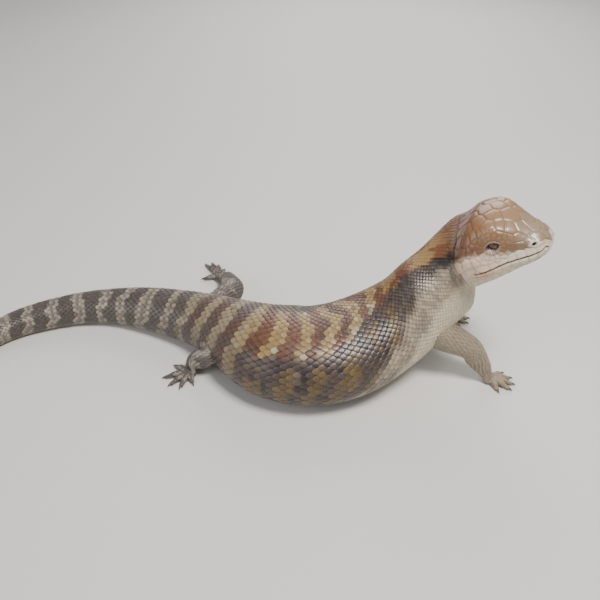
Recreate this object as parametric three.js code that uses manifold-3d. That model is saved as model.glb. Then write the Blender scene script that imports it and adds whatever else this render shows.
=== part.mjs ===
// A life-size blue tongued skink, raised on its front legs with its head up and its body bent.
// Millimetres, +Z up. The belly, tail and feet rest on the plane z = 0.
// The trunk, tail, neck and head are one loft along a spine, parted by thin cuts, and each leg
// is a thigh or upper arm, a shin or forearm, and a foot with five clawed toes.
import * as THREE from "three";
import { mergeVertices } from "three/addons/utils/BufferGeometryUtils.js";
import Module from "manifold-3d";

const wasm = await Module();
wasm.setup();

// Driving dimensions
const GAP = 0.3;
const BELLY_PRESS = 0.6;
const BODY_SIDES = 28;
const RING_STEP = 6;
const HEAD_YAW = THREE.MathUtils.degToRad(-32);
const HEAD_PITCH = THREE.MathUtils.degToRad(24);
const HEAD_ROLL = THREE.MathUtils.degToRad(9);
const EAR_POINT = new THREE.Vector3(106.5, -51.5, 90);
const EYE_RADIUS = 5.2;
const LID_THICKNESS = 0.8;
const EYE_ALONG = 33;
const EYE_OUT = 14.7;
const EYE_UP = 12.8;
const MOUTH_CORNER = 22;
const MOUTH_DEPTH = 1.1;
const LIP_HEIGHT = 0.8;
const LIP_ROLL = 2.4;
const SNOUT_OVERHANG = 1.4;
const HEAD_SPAN = 9;
const EYE_SLIT = { ahead: 0.8, out: 5.8, up: 0.9, size: [4.8, 4, 3] };

// The body from the tail's tip to the neck:
// x and y of the centre line, half width, height above it, depth below it, clearance under the belly.
const BODY_STATIONS = [
  [-268.5, -82.3, 2.0, 1.8, 1.8, 0],
  [-259, -74.5, 4.8, 4.4, 4.0, 0],
  [-242, -60, 8.2, 7.6, 6.6, 0],
  [-222, -41.5, 10.4, 9.8, 8.4, 0],
  [-200, -30, 11.6, 11.2, 9.4, 0],
  [-172, -22, 12.8, 12.4, 10.4, 0],
  [-143, -21, 14.6, 14.2, 11.6, 0],
  [-115, -26.5, 17.4, 16.6, 13.4, 0],
  [-90, -35, 19.8, 18.2, 15, 0],
  [-70, -44.5, 22, 20, 17, 0],
  [-51, -58, 25.5, 23, 20, 0],
  [-33, -72.5, 32.5, 26.5, 22, 0],
  [-14, -83, 37.5, 28.5, 23.5, 0],
  [9, -87, 39, 29, 24, 0],
  [34, -83, 37.5, 28, 25, 2.5],
  [57, -73.5, 33.5, 26.5, 26, 8.5],
  [76, -66, 28.5, 31.5, 24, 18],
  [90, -60.5, 26, 34, 22, 32],
  [101, -56, 25.5, 26, 26, 43],
];

// The head from the ear to the snout, along the line of the mouth:
// distance from the ear, half width, height above the mouth line, depth below it.
const HEAD_STATIONS = [
  [0, 26.5, 12.5, 23.5],
  [10.5, 28.4, 20, 20.8],
  [19, 28.2, 26.6, 18.4],
  [27, 25.8, 28, 16],
  [34, 22.5, 27, 13.6],
  [41, 19, 23.3, 11.2],
  [47.5, 16, 18, 9.3],
  [53.5, 12.9, 13.9, 7.5],
  [57.5, 9.8, 10.8, 5.7],
  [60, 6.2, 7.2, 3.6],
];

// Which way the last two body stations and the first two head stations face: yaw and pitch in degrees
const NECK_TURNS = [[15, 41], [3, 46], [-15, 39], [-26, 28]];

const NOSTRIL = { along: 55.4, out: 10.9, up: 7, radius: 1.3 };
const EAR = { along: 3, out: 26.4, up: 1.5, size: [1.9, 2.6, 3.6] };

const ARM_RADII = { root: 11.5, elbow: 8.2, wrist: 5.6 };
const LEG_RADII = { root: 11.5, knee: 8.2, ankle: 5.8 };
const TOE_RADII = { root: 2.1, tip: 1.35 };
const CLAW_LENGTH = 3.4;
const PALM = { half: 6.2, height: 4.6 };

// Each leg: points of the root inside the body, the elbow or knee, the wrist or ankle and the palm,
// and the direction in degrees and the reach of the five toes, from the first to the fifth.
const LEGS = [
  {
    name: "front_right",
    radii: ARM_RADII,
    root: [86, -76, 41],
    joint: [118.5, -83, 26],
    end: [131, -87, 9],
    palm: [136, -89.5],
    toes: [[30, 14], [4, 17], [-18, 18], [-40, 17.5], [-75, 14]],
  },
  {
    name: "front_left",
    radii: ARM_RADII,
    root: [78, -44, 41],
    joint: [98, -23, 25],
    end: [112, -24, 9],
    palm: [117.5, -24],
    toes: [[-52, 14], [-22, 17], [0, 18], [22, 17.5], [56, 14]],
  },
  {
    name: "hind_right",
    radii: LEG_RADII,
    root: [-66, -54, 17],
    joint: [-64, -79, 16],
    end: [-77, -80, 8],
    palm: [-80, -84],
    toes: [[292, 13], [251, 16.5], [222, 19], [193, 20], [146, 16]],
  },
  {
    name: "hind_left",
    radii: LEG_RADII,
    root: [-68, -36, 17],
    joint: [-53, -8, 18],
    end: [-61, 19, 8],
    palm: [-68, 28],
    toes: [[78, 14], [101, 20], [114, 25], [128, 26], [186, 17]],
  },
];

const COLOURS = {
  back: { color: 0x9a6a3c, roughness: 0.55, metalness: 0 },
  tail: { color: 0x7a6a5e, roughness: 0.6, metalness: 0 },
  head: { color: 0xb08a62, roughness: 0.45, metalness: 0 },
  leg: { color: 0xa3937c, roughness: 0.6, metalness: 0 },
  foot: { color: 0x9a938a, roughness: 0.65, metalness: 0 },
  eye: { color: 0x4a2a1c, roughness: 0.1, metalness: 0 },
};

// The spine, its half widths, heights and depths, all by one Catmull-Rom curve
const headForward = new THREE.Vector3(
  Math.cos(HEAD_PITCH) * Math.cos(HEAD_YAW),
  Math.cos(HEAD_PITCH) * Math.sin(HEAD_YAW),
  Math.sin(HEAD_PITCH),
);

function bodyKnot([x, y, half, up, down, clearance]) {
  const lean = HEAD_ROLL * THREE.MathUtils.smoothstep(x, 60, EAR_POINT.x);
  return [x, y, clearance + down - (clearance === 0 ? BELLY_PRESS : 0), half, up, down, lean];
}

function headKnot([along, half, up, down]) {
  const at = EAR_POINT.clone().addScaledVector(headForward, along);
  return [at.x, at.y, at.z, half, up, down, HEAD_ROLL];
}

const EAR_KNOT = BODY_STATIONS.length;
const BARE_KNOTS = [...BODY_STATIONS.map(bodyKnot), ...HEAD_STATIONS.map(headKnot)];
const LAST_KNOT = BARE_KNOTS.length - 1;

function heading(yaw, pitch) {
  const [a, b] = [yaw, pitch].map(THREE.MathUtils.degToRad);
  return [Math.cos(b) * Math.cos(a), Math.cos(b) * Math.sin(a), Math.sin(b)];
}

// The way a section faces: along the spine, but turning by slow steps through the bend of the neck
function facing(i) {
  const turn = NECK_TURNS[i - (EAR_KNOT - 2)];
  if (turn) return heading(...turn);
  if (i > EAR_KNOT) return headForward.toArray();
  const [before, after] = [BARE_KNOTS[Math.max(i - 1, 0)], BARE_KNOTS[Math.min(i + 1, LAST_KNOT)]];
  return new THREE.Vector3(...[0, 1, 2].map((k) => after[k] - before[k])).normalize().toArray();
}

const KNOTS = BARE_KNOTS.map((knot, i) => [...knot, ...facing(i)]);

function spline(u) {
  const i = Math.min(Math.max(Math.floor(u), 0), LAST_KNOT - 1);
  const f = u - i;
  const [a, b, c, d] = [i - 1, i, i + 1, i + 2].map((k) => KNOTS[Math.min(Math.max(k, 0), LAST_KNOT)]);
  return b.map((_, k) => {
    const m0 = (c[k] - a[k]) / 2;
    const m1 = (d[k] - b[k]) / 2;
    const rise = c[k] - b[k];
    return b[k] + f * (m0 + f * (3 * rise - 2 * m0 - m1 + f * (m0 + m1 - 2 * rise)));
  });
}

function frameAt(u) {
  const [x, y, z, half, up, down, lean, ...faced] = spline(u);
  const forward = new THREE.Vector3(...faced).normalize();
  const left = new THREE.Vector3(-forward.y, forward.x, 0).normalize().applyAxisAngle(forward, lean);
  const top = new THREE.Vector3().crossVectors(forward, left);
  return { at: new THREE.Vector3(x, y, z), forward, left, top, half, up, down };
}

// One point of a cross-section. The angle is 0 at the left, a quarter turn at the top.
function sectionPoint(frame, angle, roundness, grow) {
  const c = Math.cos(angle);
  const s = Math.sin(angle);
  const power = 2 / roundness(s);
  const out = (frame.half + grow) * Math.sign(c) * Math.abs(c) ** power;
  const rise = (s > 0 ? frame.up + grow : frame.down + grow) * Math.sign(s) * Math.abs(s) ** power;
  return frame.at.clone().addScaledVector(frame.left, out).addScaledVector(frame.top, rise);
}

const bodyRoundness = (s) => (s > 0 ? 2.1 : 2.5);

// A closed solid through rings of points, all with the same number of points, as a geometry
function loft(rings) {
  const sides = rings[0].length;
  const points = rings.flat();
  const centre = (ring) => ring.reduce((sum, p) => sum.add(p), new THREE.Vector3()).divideScalar(sides);
  const first = points.push(centre(rings[0])) - 1;
  const last = points.push(centre(rings.at(-1))) - 1;
  const index = [];
  for (let r = 0; r + 1 < rings.length; r++) {
    for (let k = 0; k < sides; k++) {
      const a = r * sides + k;
      const b = r * sides + ((k + 1) % sides);
      index.push(a, b, a + sides, b, b + sides, a + sides);
    }
  }
  const end = (rings.length - 1) * sides;
  for (let k = 0; k < sides; k++) {
    const next = (k + 1) % sides;
    index.push(first, next, k);
    index.push(last, end + k, end + next);
  }
  const geometry = new THREE.BufferGeometry().setFromPoints(points);
  geometry.setIndex(index);
  return geometry;
}

function solidOf(geometry) {
  const bare = geometry.index ? geometry.toNonIndexed() : geometry.clone();
  bare.deleteAttribute("normal");
  bare.deleteAttribute("uv");
  const merged = mergeVertices(bare, 1e-4);
  const triVerts = new Uint32Array(merged.index.array);
  const make = (faces) => {
    const vertProperties = merged.attributes.position.array;
    const mesh = new wasm.Mesh({ numProp: 3, vertProperties, triVerts: faces });
    return new wasm.Manifold(mesh);
  };
  const made = make(triVerts);
  if (made.volume() > 0) return made;
  for (let i = 0; i < triVerts.length; i += 3) {
    [triVerts[i + 1], triVerts[i + 2]] = [triVerts[i + 2], triVerts[i + 1]];
  }
  return make(triVerts);
}

function largest(solid) {
  const pieces = solid.decompose();
  return pieces.reduce((best, piece) => (piece.volume() > best.volume() ? piece : best));
}

function geometryOf(solid) {
  const mesh = solid.getMesh();
  const geometry = new THREE.BufferGeometry();
  geometry.setAttribute("position", new THREE.BufferAttribute(new Float32Array(mesh.vertProperties), 3));
  geometry.setIndex(new THREE.BufferAttribute(new Uint32Array(mesh.triVerts), 1));
  geometry.computeVertexNormals();
  return geometry;
}

const skink = new THREE.Group();
skink.name = "skink";

function addNode(name, geometry, look) {
  const mesh = new THREE.Mesh(geometry, new THREE.MeshStandardMaterial(COLOURS[look]));
  mesh.name = name;
  skink.add(mesh);
}

// Stretches of the body

function restOnFloor(point) {
  point.z = Math.max(point.z, 0);
  return point;
}

function knotLength(u) {
  const parts = 8;
  let length = 0;
  let before = frameAt(u).at;
  for (let k = 1; k <= parts; k++) {
    const here = frameAt(Math.min(u + k / parts, LAST_KNOT)).at;
    length += here.distanceTo(before);
    before = here;
  }
  return length;
}

function bodyRings(from, to, grow = 0) {
  const rings = [];
  for (let u = from; u < to - 1e-6; ) {
    rings.push(u);
    const next = u + RING_STEP / Math.max(knotLength(Math.floor(u)), RING_STEP);
    u = next > to - 0.1 ? to : next;
  }
  rings.push(to);
  return rings.map((u) => {
    const frame = frameAt(u);
    return Array.from({ length: BODY_SIDES }, (_, k) =>
      restOnFloor(sectionPoint(frame, (2 * Math.PI * k) / BODY_SIDES, bodyRoundness, grow)),
    );
  });
}

const NECK_START = 16.7;
const EAR_OVERRUN = 0.3;
const BODY_PARTS = [
  ["tail_tip", 0, 2.6, "tail"],
  ["tail_middle", 2.6, 5.2, "tail"],
  ["tail_base", 5.2, 8, "tail"],
  ["pelvis", 8, 10.4, "back"],
  ["torso_rear", 10.4, 12.4, "back"],
  ["torso_middle", 12.4, 14.2, "back"],
  ["torso_front", 14.2, 15.5, "back"],
  ["shoulders", 15.5, NECK_START, "back"],
];

for (const [name, from, to, look] of BODY_PARTS) {
  const cut = (1.5 * GAP) / knotLength(Math.floor(to - 1e-6));
  addNode(name, loft(bodyRings(from, to - cut)), look);
}

// The neck and the head both run past the ear and are parted by one plane there
const earPlane = frameAt(EAR_KNOT).forward;
const earOffset = earPlane.dot(EAR_POINT);
const neck = solidOf(loft(bodyRings(NECK_START, EAR_KNOT + EAR_OVERRUN)));
const behindEar = earPlane.clone().negate().toArray();
addNode("neck", geometryOf(neck.trimByPlane(behindEar, GAP / 2 - earOffset)), "back");

// Head

const headLeft = new THREE.Vector3(-Math.sin(HEAD_YAW), Math.cos(HEAD_YAW), 0);
headLeft.applyAxisAngle(headForward, HEAD_ROLL);
const headTop = new THREE.Vector3().crossVectors(headForward, headLeft);

function inHead(along, out, up) {
  return EAR_POINT.clone()
    .addScaledVector(headForward, along)
    .addScaledVector(headLeft, out)
    .addScaledVector(headTop, up);
}

const headRoundness = (along) => {
  const skull = THREE.MathUtils.smoothstep(along, 0, 16);
  return (s) => (s > 0 ? 2.1 + 0.35 * skull : 2.5 + 0.5 * skull);
};

// The angles of one half of a head ring, from the mouth line to the middle of the back or throat
function quarterAngles(reach, roundness, steps) {
  const near = [LIP_HEIGHT, LIP_ROLL].map((z) => Math.asin((z / reach) ** (roundness / 2)));
  const from = near.at(-1);
  const rest = Array.from({ length: steps }, (_, k) => from + ((Math.PI / 2 - from) * (k + 1)) / steps);
  return [0, ...near, ...rest];
}

function headRing(u, along) {
  const frame = frameAt(u);
  const roundness = headRoundness(along);
  const up = quarterAngles(Math.max(frame.up, 4), roundness(1), 8);
  const down = quarterAngles(Math.max(frame.down, 4), roundness(-1), 7);
  const angles = [
    ...up,
    ...up.slice(0, -1).reverse().map((a) => Math.PI - a),
    ...down.slice(1).map((a) => Math.PI + a),
    ...down.slice(1, -1).reverse().map((a) => -a),
  ];
  const groove = MOUTH_DEPTH * THREE.MathUtils.smoothstep(along, MOUTH_CORNER - 3, MOUTH_CORNER + 3);
  const tip = SNOUT_OVERHANG * THREE.MathUtils.smoothstep(along, 48, 57);
  return angles.map((angle) => {
    const point = sectionPoint(frame, angle, roundness, 0);
    const side = Math.cos(angle);
    if (Math.abs(Math.sin(angle)) < 1e-9) point.addScaledVector(frame.left, -Math.sign(side) * groove);
    if (Math.sin(angle) > 1e-9) point.addScaledVector(frame.forward, tip);
    return point;
  });
}

const HEAD_RINGS = [-EAR_OVERRUN, 0, 0.5, 1, 1.5, 2];
for (let k = 2.4; k < HEAD_SPAN; k += 0.4) HEAD_RINGS.push(k);
HEAD_RINGS.push(HEAD_SPAN);
const headLoft = loft(
  HEAD_RINGS.map((k) => {
    const u = EAR_KNOT + k;
    const along = frameAt(u).at.clone().sub(EAR_POINT).dot(headForward);
    return headRing(u, along);
  }),
);

function ball(centre, size, turn) {
  const geometry = new THREE.SphereGeometry(1, 16, 10);
  geometry.scale(...size);
  if (turn) geometry.applyQuaternion(turn);
  geometry.translate(centre.x, centre.y, centre.z);
  return geometry;
}

const headTurn = new THREE.Quaternion().setFromRotationMatrix(
  new THREE.Matrix4().makeBasis(headForward, headLeft, headTop),
);

let head = solidOf(headLoft).trimByPlane(earPlane.toArray(), earOffset + GAP / 2);
for (const side of [-1, 1]) {
  const centre = inHead(EYE_ALONG, side * EYE_OUT, EYE_UP);
  const lid = EYE_RADIUS + GAP + LID_THICKNESS;
  head = head.add(solidOf(ball(centre, [lid * 1.12, lid, lid * 0.98], headTurn)));
}
for (const side of [-1, 1]) {
  const centre = inHead(EYE_ALONG, side * EYE_OUT, EYE_UP);
  const socket = EYE_RADIUS + GAP;
  head = head.subtract(solidOf(ball(centre, [socket, socket, socket], headTurn)));
  const slit = inHead(EYE_ALONG + EYE_SLIT.ahead, side * (EYE_OUT + EYE_SLIT.out), EYE_UP + EYE_SLIT.up);
  head = head.subtract(solidOf(ball(slit, EYE_SLIT.size, headTurn)));
  const nostril = inHead(NOSTRIL.along, side * NOSTRIL.out, NOSTRIL.up);
  const r = NOSTRIL.radius;
  head = head.subtract(solidOf(ball(nostril, [r * 1.3, r * 1.4, r], headTurn)));
  const ear = inHead(EAR.along, side * EAR.out, EAR.up);
  head = head.subtract(solidOf(ball(ear, EAR.size, headTurn)));
}
addNode("head", geometryOf(largest(head)), "head");

for (const [name, side] of [["eye_right", -1], ["eye_left", 1]]) {
  const size = [EYE_RADIUS, EYE_RADIUS, EYE_RADIUS];
  addNode(name, ball(inHead(EYE_ALONG, side * EYE_OUT, EYE_UP), size, headTurn), "eye");
}

// Legs

// A tube through points, each with its own radius.
// A cap lists the angles of the rings that round off an end.
const CAP = [1.25, 0.7];
const FLAT = [];
const BLUNT = [0.9];
function tube(points, radii, sides, grow = 0, startCap = CAP, endCap = CAP) {
  const path = points.map((p) => new THREE.Vector3(...p));
  const rings = [];
  const ring = (centre, direction, radius) => {
    const side = new THREE.Vector3(0, 0, 1).cross(direction);
    if (side.lengthSq() < 1e-6) side.set(1, 0, 0);
    side.normalize();
    const other = new THREE.Vector3().crossVectors(direction, side);
    return Array.from({ length: sides }, (_, k) => {
      const a = (2 * Math.PI * k) / sides;
      const point = centre.clone().addScaledVector(side, radius * Math.cos(a));
      return point.addScaledVector(other, radius * Math.sin(a));
    });
  };
  const capRing = (p, direction, radius, a, end) => {
    const centre = p.clone().addScaledVector(direction, end * radius * Math.sin(a));
    rings.push(ring(centre, direction, radius * Math.cos(a)));
  };
  path.forEach((p, i) => {
    const back = path[Math.max(i - 1, 0)];
    const ahead = path[Math.min(i + 1, path.length - 1)];
    const direction = ahead.clone().sub(back).normalize();
    const radius = radii[i] + grow;
    if (i === 0) {
      for (const a of startCap) capRing(p, direction, radius, a, -1);
    }
    rings.push(ring(p, direction, radius));
    if (i === path.length - 1) {
      for (const a of endCap.toReversed()) capRing(p, direction, radius, a, 1);
    }
  });
  return solidOf(loft(rings));
}

function midPoint(a, b, share, lift = 0) {
  return a.map((v, k) => v + (b[k] - v) * share + (k === 2 ? lift : 0));
}

function legPiece(from, to, r0, r1, swell, grow) {
  const middle = midPoint(from, to, 0.45);
  return tube([from, middle, to], [r0, (r0 + r1) / 2 + swell, r1], 14, grow);
}

function foot(leg) {
  const [px, py] = leg.palm;
  const palm = [px, py, PALM.height * 0.62];
  let made = tube([leg.end, palm], [leg.radii.wrist ?? leg.radii.ankle, PALM.half * 0.78], 12);
  const pad = new THREE.Vector3(px, py, PALM.height * 0.5);
  made = made.add(solidOf(ball(pad, [PALM.half, PALM.half, PALM.height * 0.75])));
  for (const [degrees, reach] of leg.toes) {
    const a = THREE.MathUtils.degToRad(degrees);
    const at = (r, z) => [px + r * Math.cos(a), py + r * Math.sin(a), z];
    const tip = reach - CLAW_LENGTH;
    const root = PALM.half * 0.45;
    const knuckle = root + (tip - root) * 0.5;
    const { root: r0, tip: r1 } = TOE_RADII;
    const toe = [at(root, 2.6), at(knuckle, 3.1), at(tip, r1 - 0.2)];
    made = made.add(tube(toe, [r0, (r0 + r1) / 2, r1], 8, 0, FLAT, BLUNT));
    const claw = [at(tip - 0.4, r1), at(tip + CLAW_LENGTH * 0.5, r1 * 0.95), at(reach - 0.3, 0.35)];
    made = made.add(tube(claw, [0.95, 0.7, 0.3], 6, 0, FLAT, FLAT));
  }
  return made;
}

const LEG_REACH = [7.5, 18.6];
const nearBody = solidOf(loft(bodyRings(...LEG_REACH, GAP)));

for (const leg of LEGS) {
  const front = leg.name.startsWith("front");
  const joint = front ? leg.radii.elbow : leg.radii.knee;
  const end = front ? leg.radii.wrist : leg.radii.ankle;
  const upper = (grow) => legPiece(leg.root, leg.joint, leg.radii.root, joint, 0.6, grow);
  const lower = (grow) => legPiece(leg.joint, leg.end, joint, end, 0.5, grow);
  const names = front ? ["upper_arm", "forearm", "hand"] : ["thigh", "shin", "foot"];
  const floor = [[0, 0, 1], 0];
  const solids = [
    upper(0).subtract(nearBody),
    lower(0).subtract(upper(GAP)).subtract(nearBody),
    foot(leg).subtract(lower(GAP)).subtract(upper(GAP)).subtract(nearBody),
  ];
  solids.forEach((solid, k) => {
    const look = k === 2 ? "foot" : "leg";
    addNode(`${leg.name}_${names[k]}`, geometryOf(largest(solid.trimByPlane(...floor))), look);
  });
}

// The origin is under the middle of the whole animal's box, on the floor
const box = new THREE.Box3().setFromObject(skink, true);
const middle = box.getCenter(new THREE.Vector3());
for (const mesh of skink.children) mesh.position.set(-middle.x, -middle.y, 0);

export default skink;
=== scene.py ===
"""A life-size blue tongued skink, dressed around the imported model.

One skin runs over the whole body. Its head carries shields, lids, lips, nostrils and ears in its
own surface, and everything behind the head is covered by overlapping scales of solid mesh.
Lengths are in millimetres until a mesh is made. The part's own frame is the design frame moved
by OFFSET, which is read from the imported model.
"""

import math
from types import SimpleNamespace

import bpy
import numpy as np
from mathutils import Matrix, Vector


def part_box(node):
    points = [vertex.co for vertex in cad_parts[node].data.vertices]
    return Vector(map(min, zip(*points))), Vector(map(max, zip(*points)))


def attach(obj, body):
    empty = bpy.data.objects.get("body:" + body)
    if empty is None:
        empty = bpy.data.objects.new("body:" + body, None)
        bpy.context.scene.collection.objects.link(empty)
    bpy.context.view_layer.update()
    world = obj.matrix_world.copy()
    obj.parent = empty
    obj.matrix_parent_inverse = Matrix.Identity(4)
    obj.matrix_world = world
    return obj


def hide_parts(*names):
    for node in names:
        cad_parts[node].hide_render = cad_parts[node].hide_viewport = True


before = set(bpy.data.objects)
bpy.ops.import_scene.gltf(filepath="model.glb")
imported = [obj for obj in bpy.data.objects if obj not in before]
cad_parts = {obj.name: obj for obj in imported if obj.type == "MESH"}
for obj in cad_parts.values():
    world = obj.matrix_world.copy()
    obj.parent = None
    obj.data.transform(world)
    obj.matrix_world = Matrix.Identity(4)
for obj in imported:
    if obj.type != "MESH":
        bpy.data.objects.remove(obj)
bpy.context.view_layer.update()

# Driving dimensions, as in the part's source

HEAD_YAW = math.radians(-32)
HEAD_PITCH = math.radians(24)
HEAD_ROLL = math.radians(9)
EAR_POINT = np.array([106.5, -51.5, 90])
BELLY_PRESS = 0.6
EYE_RADIUS = 5.2
EYE = (33, 14.7, 12.8)
NOSTRIL = (55.4, 10.9, 7)
EAR = (3, 26.4, 1.5)
MOUTH_CORNER = 22
SNOUT_OVERHANG = 1.4
PALM_HALF = 6.2
PALM_HEIGHT = 4.6
TOE_ROOT = 2.1
TOE_TIP = 1.35
CLAW_LENGTH = 3.4

# x, y, half width, height, depth and clearance from the tail's tip to the neck
BODY_STATIONS = [
    (-268.5, -82.3, 2.0, 1.8, 1.8, 0),
    (-259, -74.5, 4.8, 4.4, 4.0, 0),
    (-242, -60, 8.2, 7.6, 6.6, 0),
    (-222, -41.5, 10.4, 9.8, 8.4, 0),
    (-200, -30, 11.6, 11.2, 9.4, 0),
    (-172, -22, 12.8, 12.4, 10.4, 0),
    (-143, -21, 14.6, 14.2, 11.6, 0),
    (-115, -26.5, 17.4, 16.6, 13.4, 0),
    (-90, -35, 19.8, 18.2, 15, 0),
    (-70, -44.5, 22, 20, 17, 0),
    (-51, -58, 25.5, 23, 20, 0),
    (-33, -72.5, 32.5, 26.5, 22, 0),
    (-14, -83, 37.5, 28.5, 23.5, 0),
    (9, -87, 39, 29, 24, 0),
    (34, -83, 37.5, 28, 25, 2.5),
    (57, -73.5, 33.5, 26.5, 26, 8.5),
    (76, -66, 28.5, 31.5, 24, 18),
    (90, -60.5, 26, 34, 22, 32),
    (101, -56, 25.5, 26, 26, 43),
]

# Distance from the ear, half width, height above the mouth line and depth below it
HEAD_STATIONS = [
    (0, 26.5, 12.5, 23.5),
    (10.5, 28.4, 20, 20.8),
    (19, 28.2, 26.6, 18.4),
    (27, 25.8, 28, 16),
    (34, 22.5, 27, 13.6),
    (41, 19, 23.3, 11.2),
    (47.5, 16, 18, 9.3),
    (53.5, 12.9, 13.9, 7.5),
    (57.5, 9.8, 10.8, 5.7),
    (60, 6.2, 7.2, 3.6),
]

# Which way the last two body stations and the first two head stations face: yaw and pitch
NECK_TURNS = [(15, 41), (3, 46), (-15, 39), (-26, 28)]

ARM_RADII = (11.5, 8.2, 5.6)
LEG_RADII = (11.5, 8.2, 5.8)

# Root, elbow or knee, wrist or ankle, palm, and direction in degrees and reach of each toe
LEGS = {
    "front_right": dict(
        radii=ARM_RADII, root=(86, -76, 41), joint=(118.5, -83, 26), end=(131, -87, 9), palm=(136, -89.5),
        toes=[(30, 14), (4, 17), (-18, 18), (-40, 17.5), (-75, 14)],
    ),
    "front_left": dict(
        radii=ARM_RADII, root=(78, -44, 41), joint=(98, -23, 25), end=(112, -24, 9), palm=(117.5, -24),
        toes=[(-52, 14), (-22, 17), (0, 18), (22, 17.5), (56, 14)],
    ),
    "hind_right": dict(
        radii=LEG_RADII, root=(-66, -54, 17), joint=(-64, -79, 16), end=(-77, -80, 8), palm=(-80, -84),
        toes=[(292, 13), (251, 16.5), (222, 19), (193, 20), (146, 16)],
    ),
    "hind_left": dict(
        radii=LEG_RADII, root=(-68, -36, 17), joint=(-53, -8, 18), end=(-61, 19, 8), palm=(-68, 28),
        toes=[(78, 14), (101, 20), (114, 25), (128, 26), (186, 17)],
    ),
}

# Finish of the skin and the scales

SKIN_INSET = 0.75
SCALE_LIFT = 0.55
SCALE_THICKNESS = 0.32
SCALE_DOME = 0.3
SEED = 20

rng = np.random.default_rng(SEED)


def unit(v):
    return v / np.linalg.norm(v, axis=-1, keepdims=True)


def norm(v):
    return np.linalg.norm(v, axis=-1)


def run_along(points):
    """The way along a line of points, from 0 at the first."""
    return np.r_[0, np.cumsum(norm(np.diff(points, axis=0)))]


def direction(yaw, pitch=0):
    flat = math.cos(pitch)
    return np.array([flat * math.cos(yaw), flat * math.sin(yaw), math.sin(pitch)])


def smoothstep(x, low, high):
    """Goes from 0 at low to 1 at high, where low may be the larger number."""
    t = np.clip((x - low) / (high - low), 0, 1)
    return t * t * (3 - 2 * t)


def bell(x, middle, width):
    """1 at the middle, falling off smoothly to both sides."""
    return np.exp(-(((x - middle) / width) ** 2))


def colour(code):
    """A colour written as six hex digits, as linear light."""
    srgb = np.array([int(code[k : k + 2], 16) for k in (0, 2, 4)]) / 255
    return np.where(srgb <= 0.04045, srgb / 12.92, ((srgb + 0.055) / 1.055) ** 2.4)


def mix(a, b, share):
    """A colour between two, by the share of the second."""
    share = np.asarray(share, float)[..., None]
    return a * (1 - share) + b * share


def blend(a, b, x, low, high, most=1):
    """Goes over from one colour to another as x goes from low to high."""
    return mix(a, b, smoothstep(x, low, high) * most)


def noise(x, y, layer=0):
    """Smooth value noise between 0 and 1, the same on each run."""
    x, y = np.broadcast_arrays(np.asarray(x, float), np.asarray(y, float))
    x0, y0 = np.floor(x), np.floor(y)
    fx, fy = x - x0, y - y0
    fx, fy = fx * fx * (3 - 2 * fx), fy * fy * (3 - 2 * fy)

    def corner(dx, dy):
        wave = np.sin((x0 + dx) * 127.1 + (y0 + dy) * 311.7 + layer * 74.7) * 43758.5453
        return wave - np.floor(wave)

    low = corner(0, 0) * (1 - fx) + corner(1, 0) * fx
    high = corner(0, 1) * (1 - fx) + corner(1, 1) * fx
    return low * (1 - fy) + high * fy


# The head's own axes

head_forward = direction(HEAD_YAW, HEAD_PITCH)
level_left = direction(HEAD_YAW + math.pi / 2)
head_left = level_left * math.cos(HEAD_ROLL) + np.cross(head_forward, level_left) * math.sin(HEAD_ROLL)
head_top = np.cross(head_forward, head_left)
HEAD_AXES = np.array([head_forward, head_left, head_top])


def in_head(along, out, up):
    """A place given in the head's own axes."""
    return EAR_POINT + np.array([along, out, up]) @ HEAD_AXES


def on_side(place, side):
    """The place of an eye, a nostril or an ear: side is -1 on the right and 1 on the left."""
    along, out, up = place
    return in_head(along, side * out, up)


OFFSET = np.mean(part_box("eye_right"), axis=0) * 1000 - on_side(EYE, -1)


# Lofts

# Steps between two knots in which the spine is measured
SPINE_FINENESS = 40

# Spacing of the rings, how far the surface stands off the form, and points of a side and a ring
BODY_GRID = dict(step=0.6, grow=-SKIN_INSET, around=481, shares=401)
LEG_GRID = dict(step=1.0, grow=-0.35, around=121, shares=49)
TOE_GRID = dict(step=0.7, grow=-0.15, around=61, shares=25)

# Powers of the sections' curves above and below: 2 is an ellipse, and more is squarer
TRUNK_POWERS = (2.1, 2.5)
LIMB_POWERS = (2.1, 2.2)
SKULL_SQUARER = (0.35, 0.5)
SKULL_BLEND = 16


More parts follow.
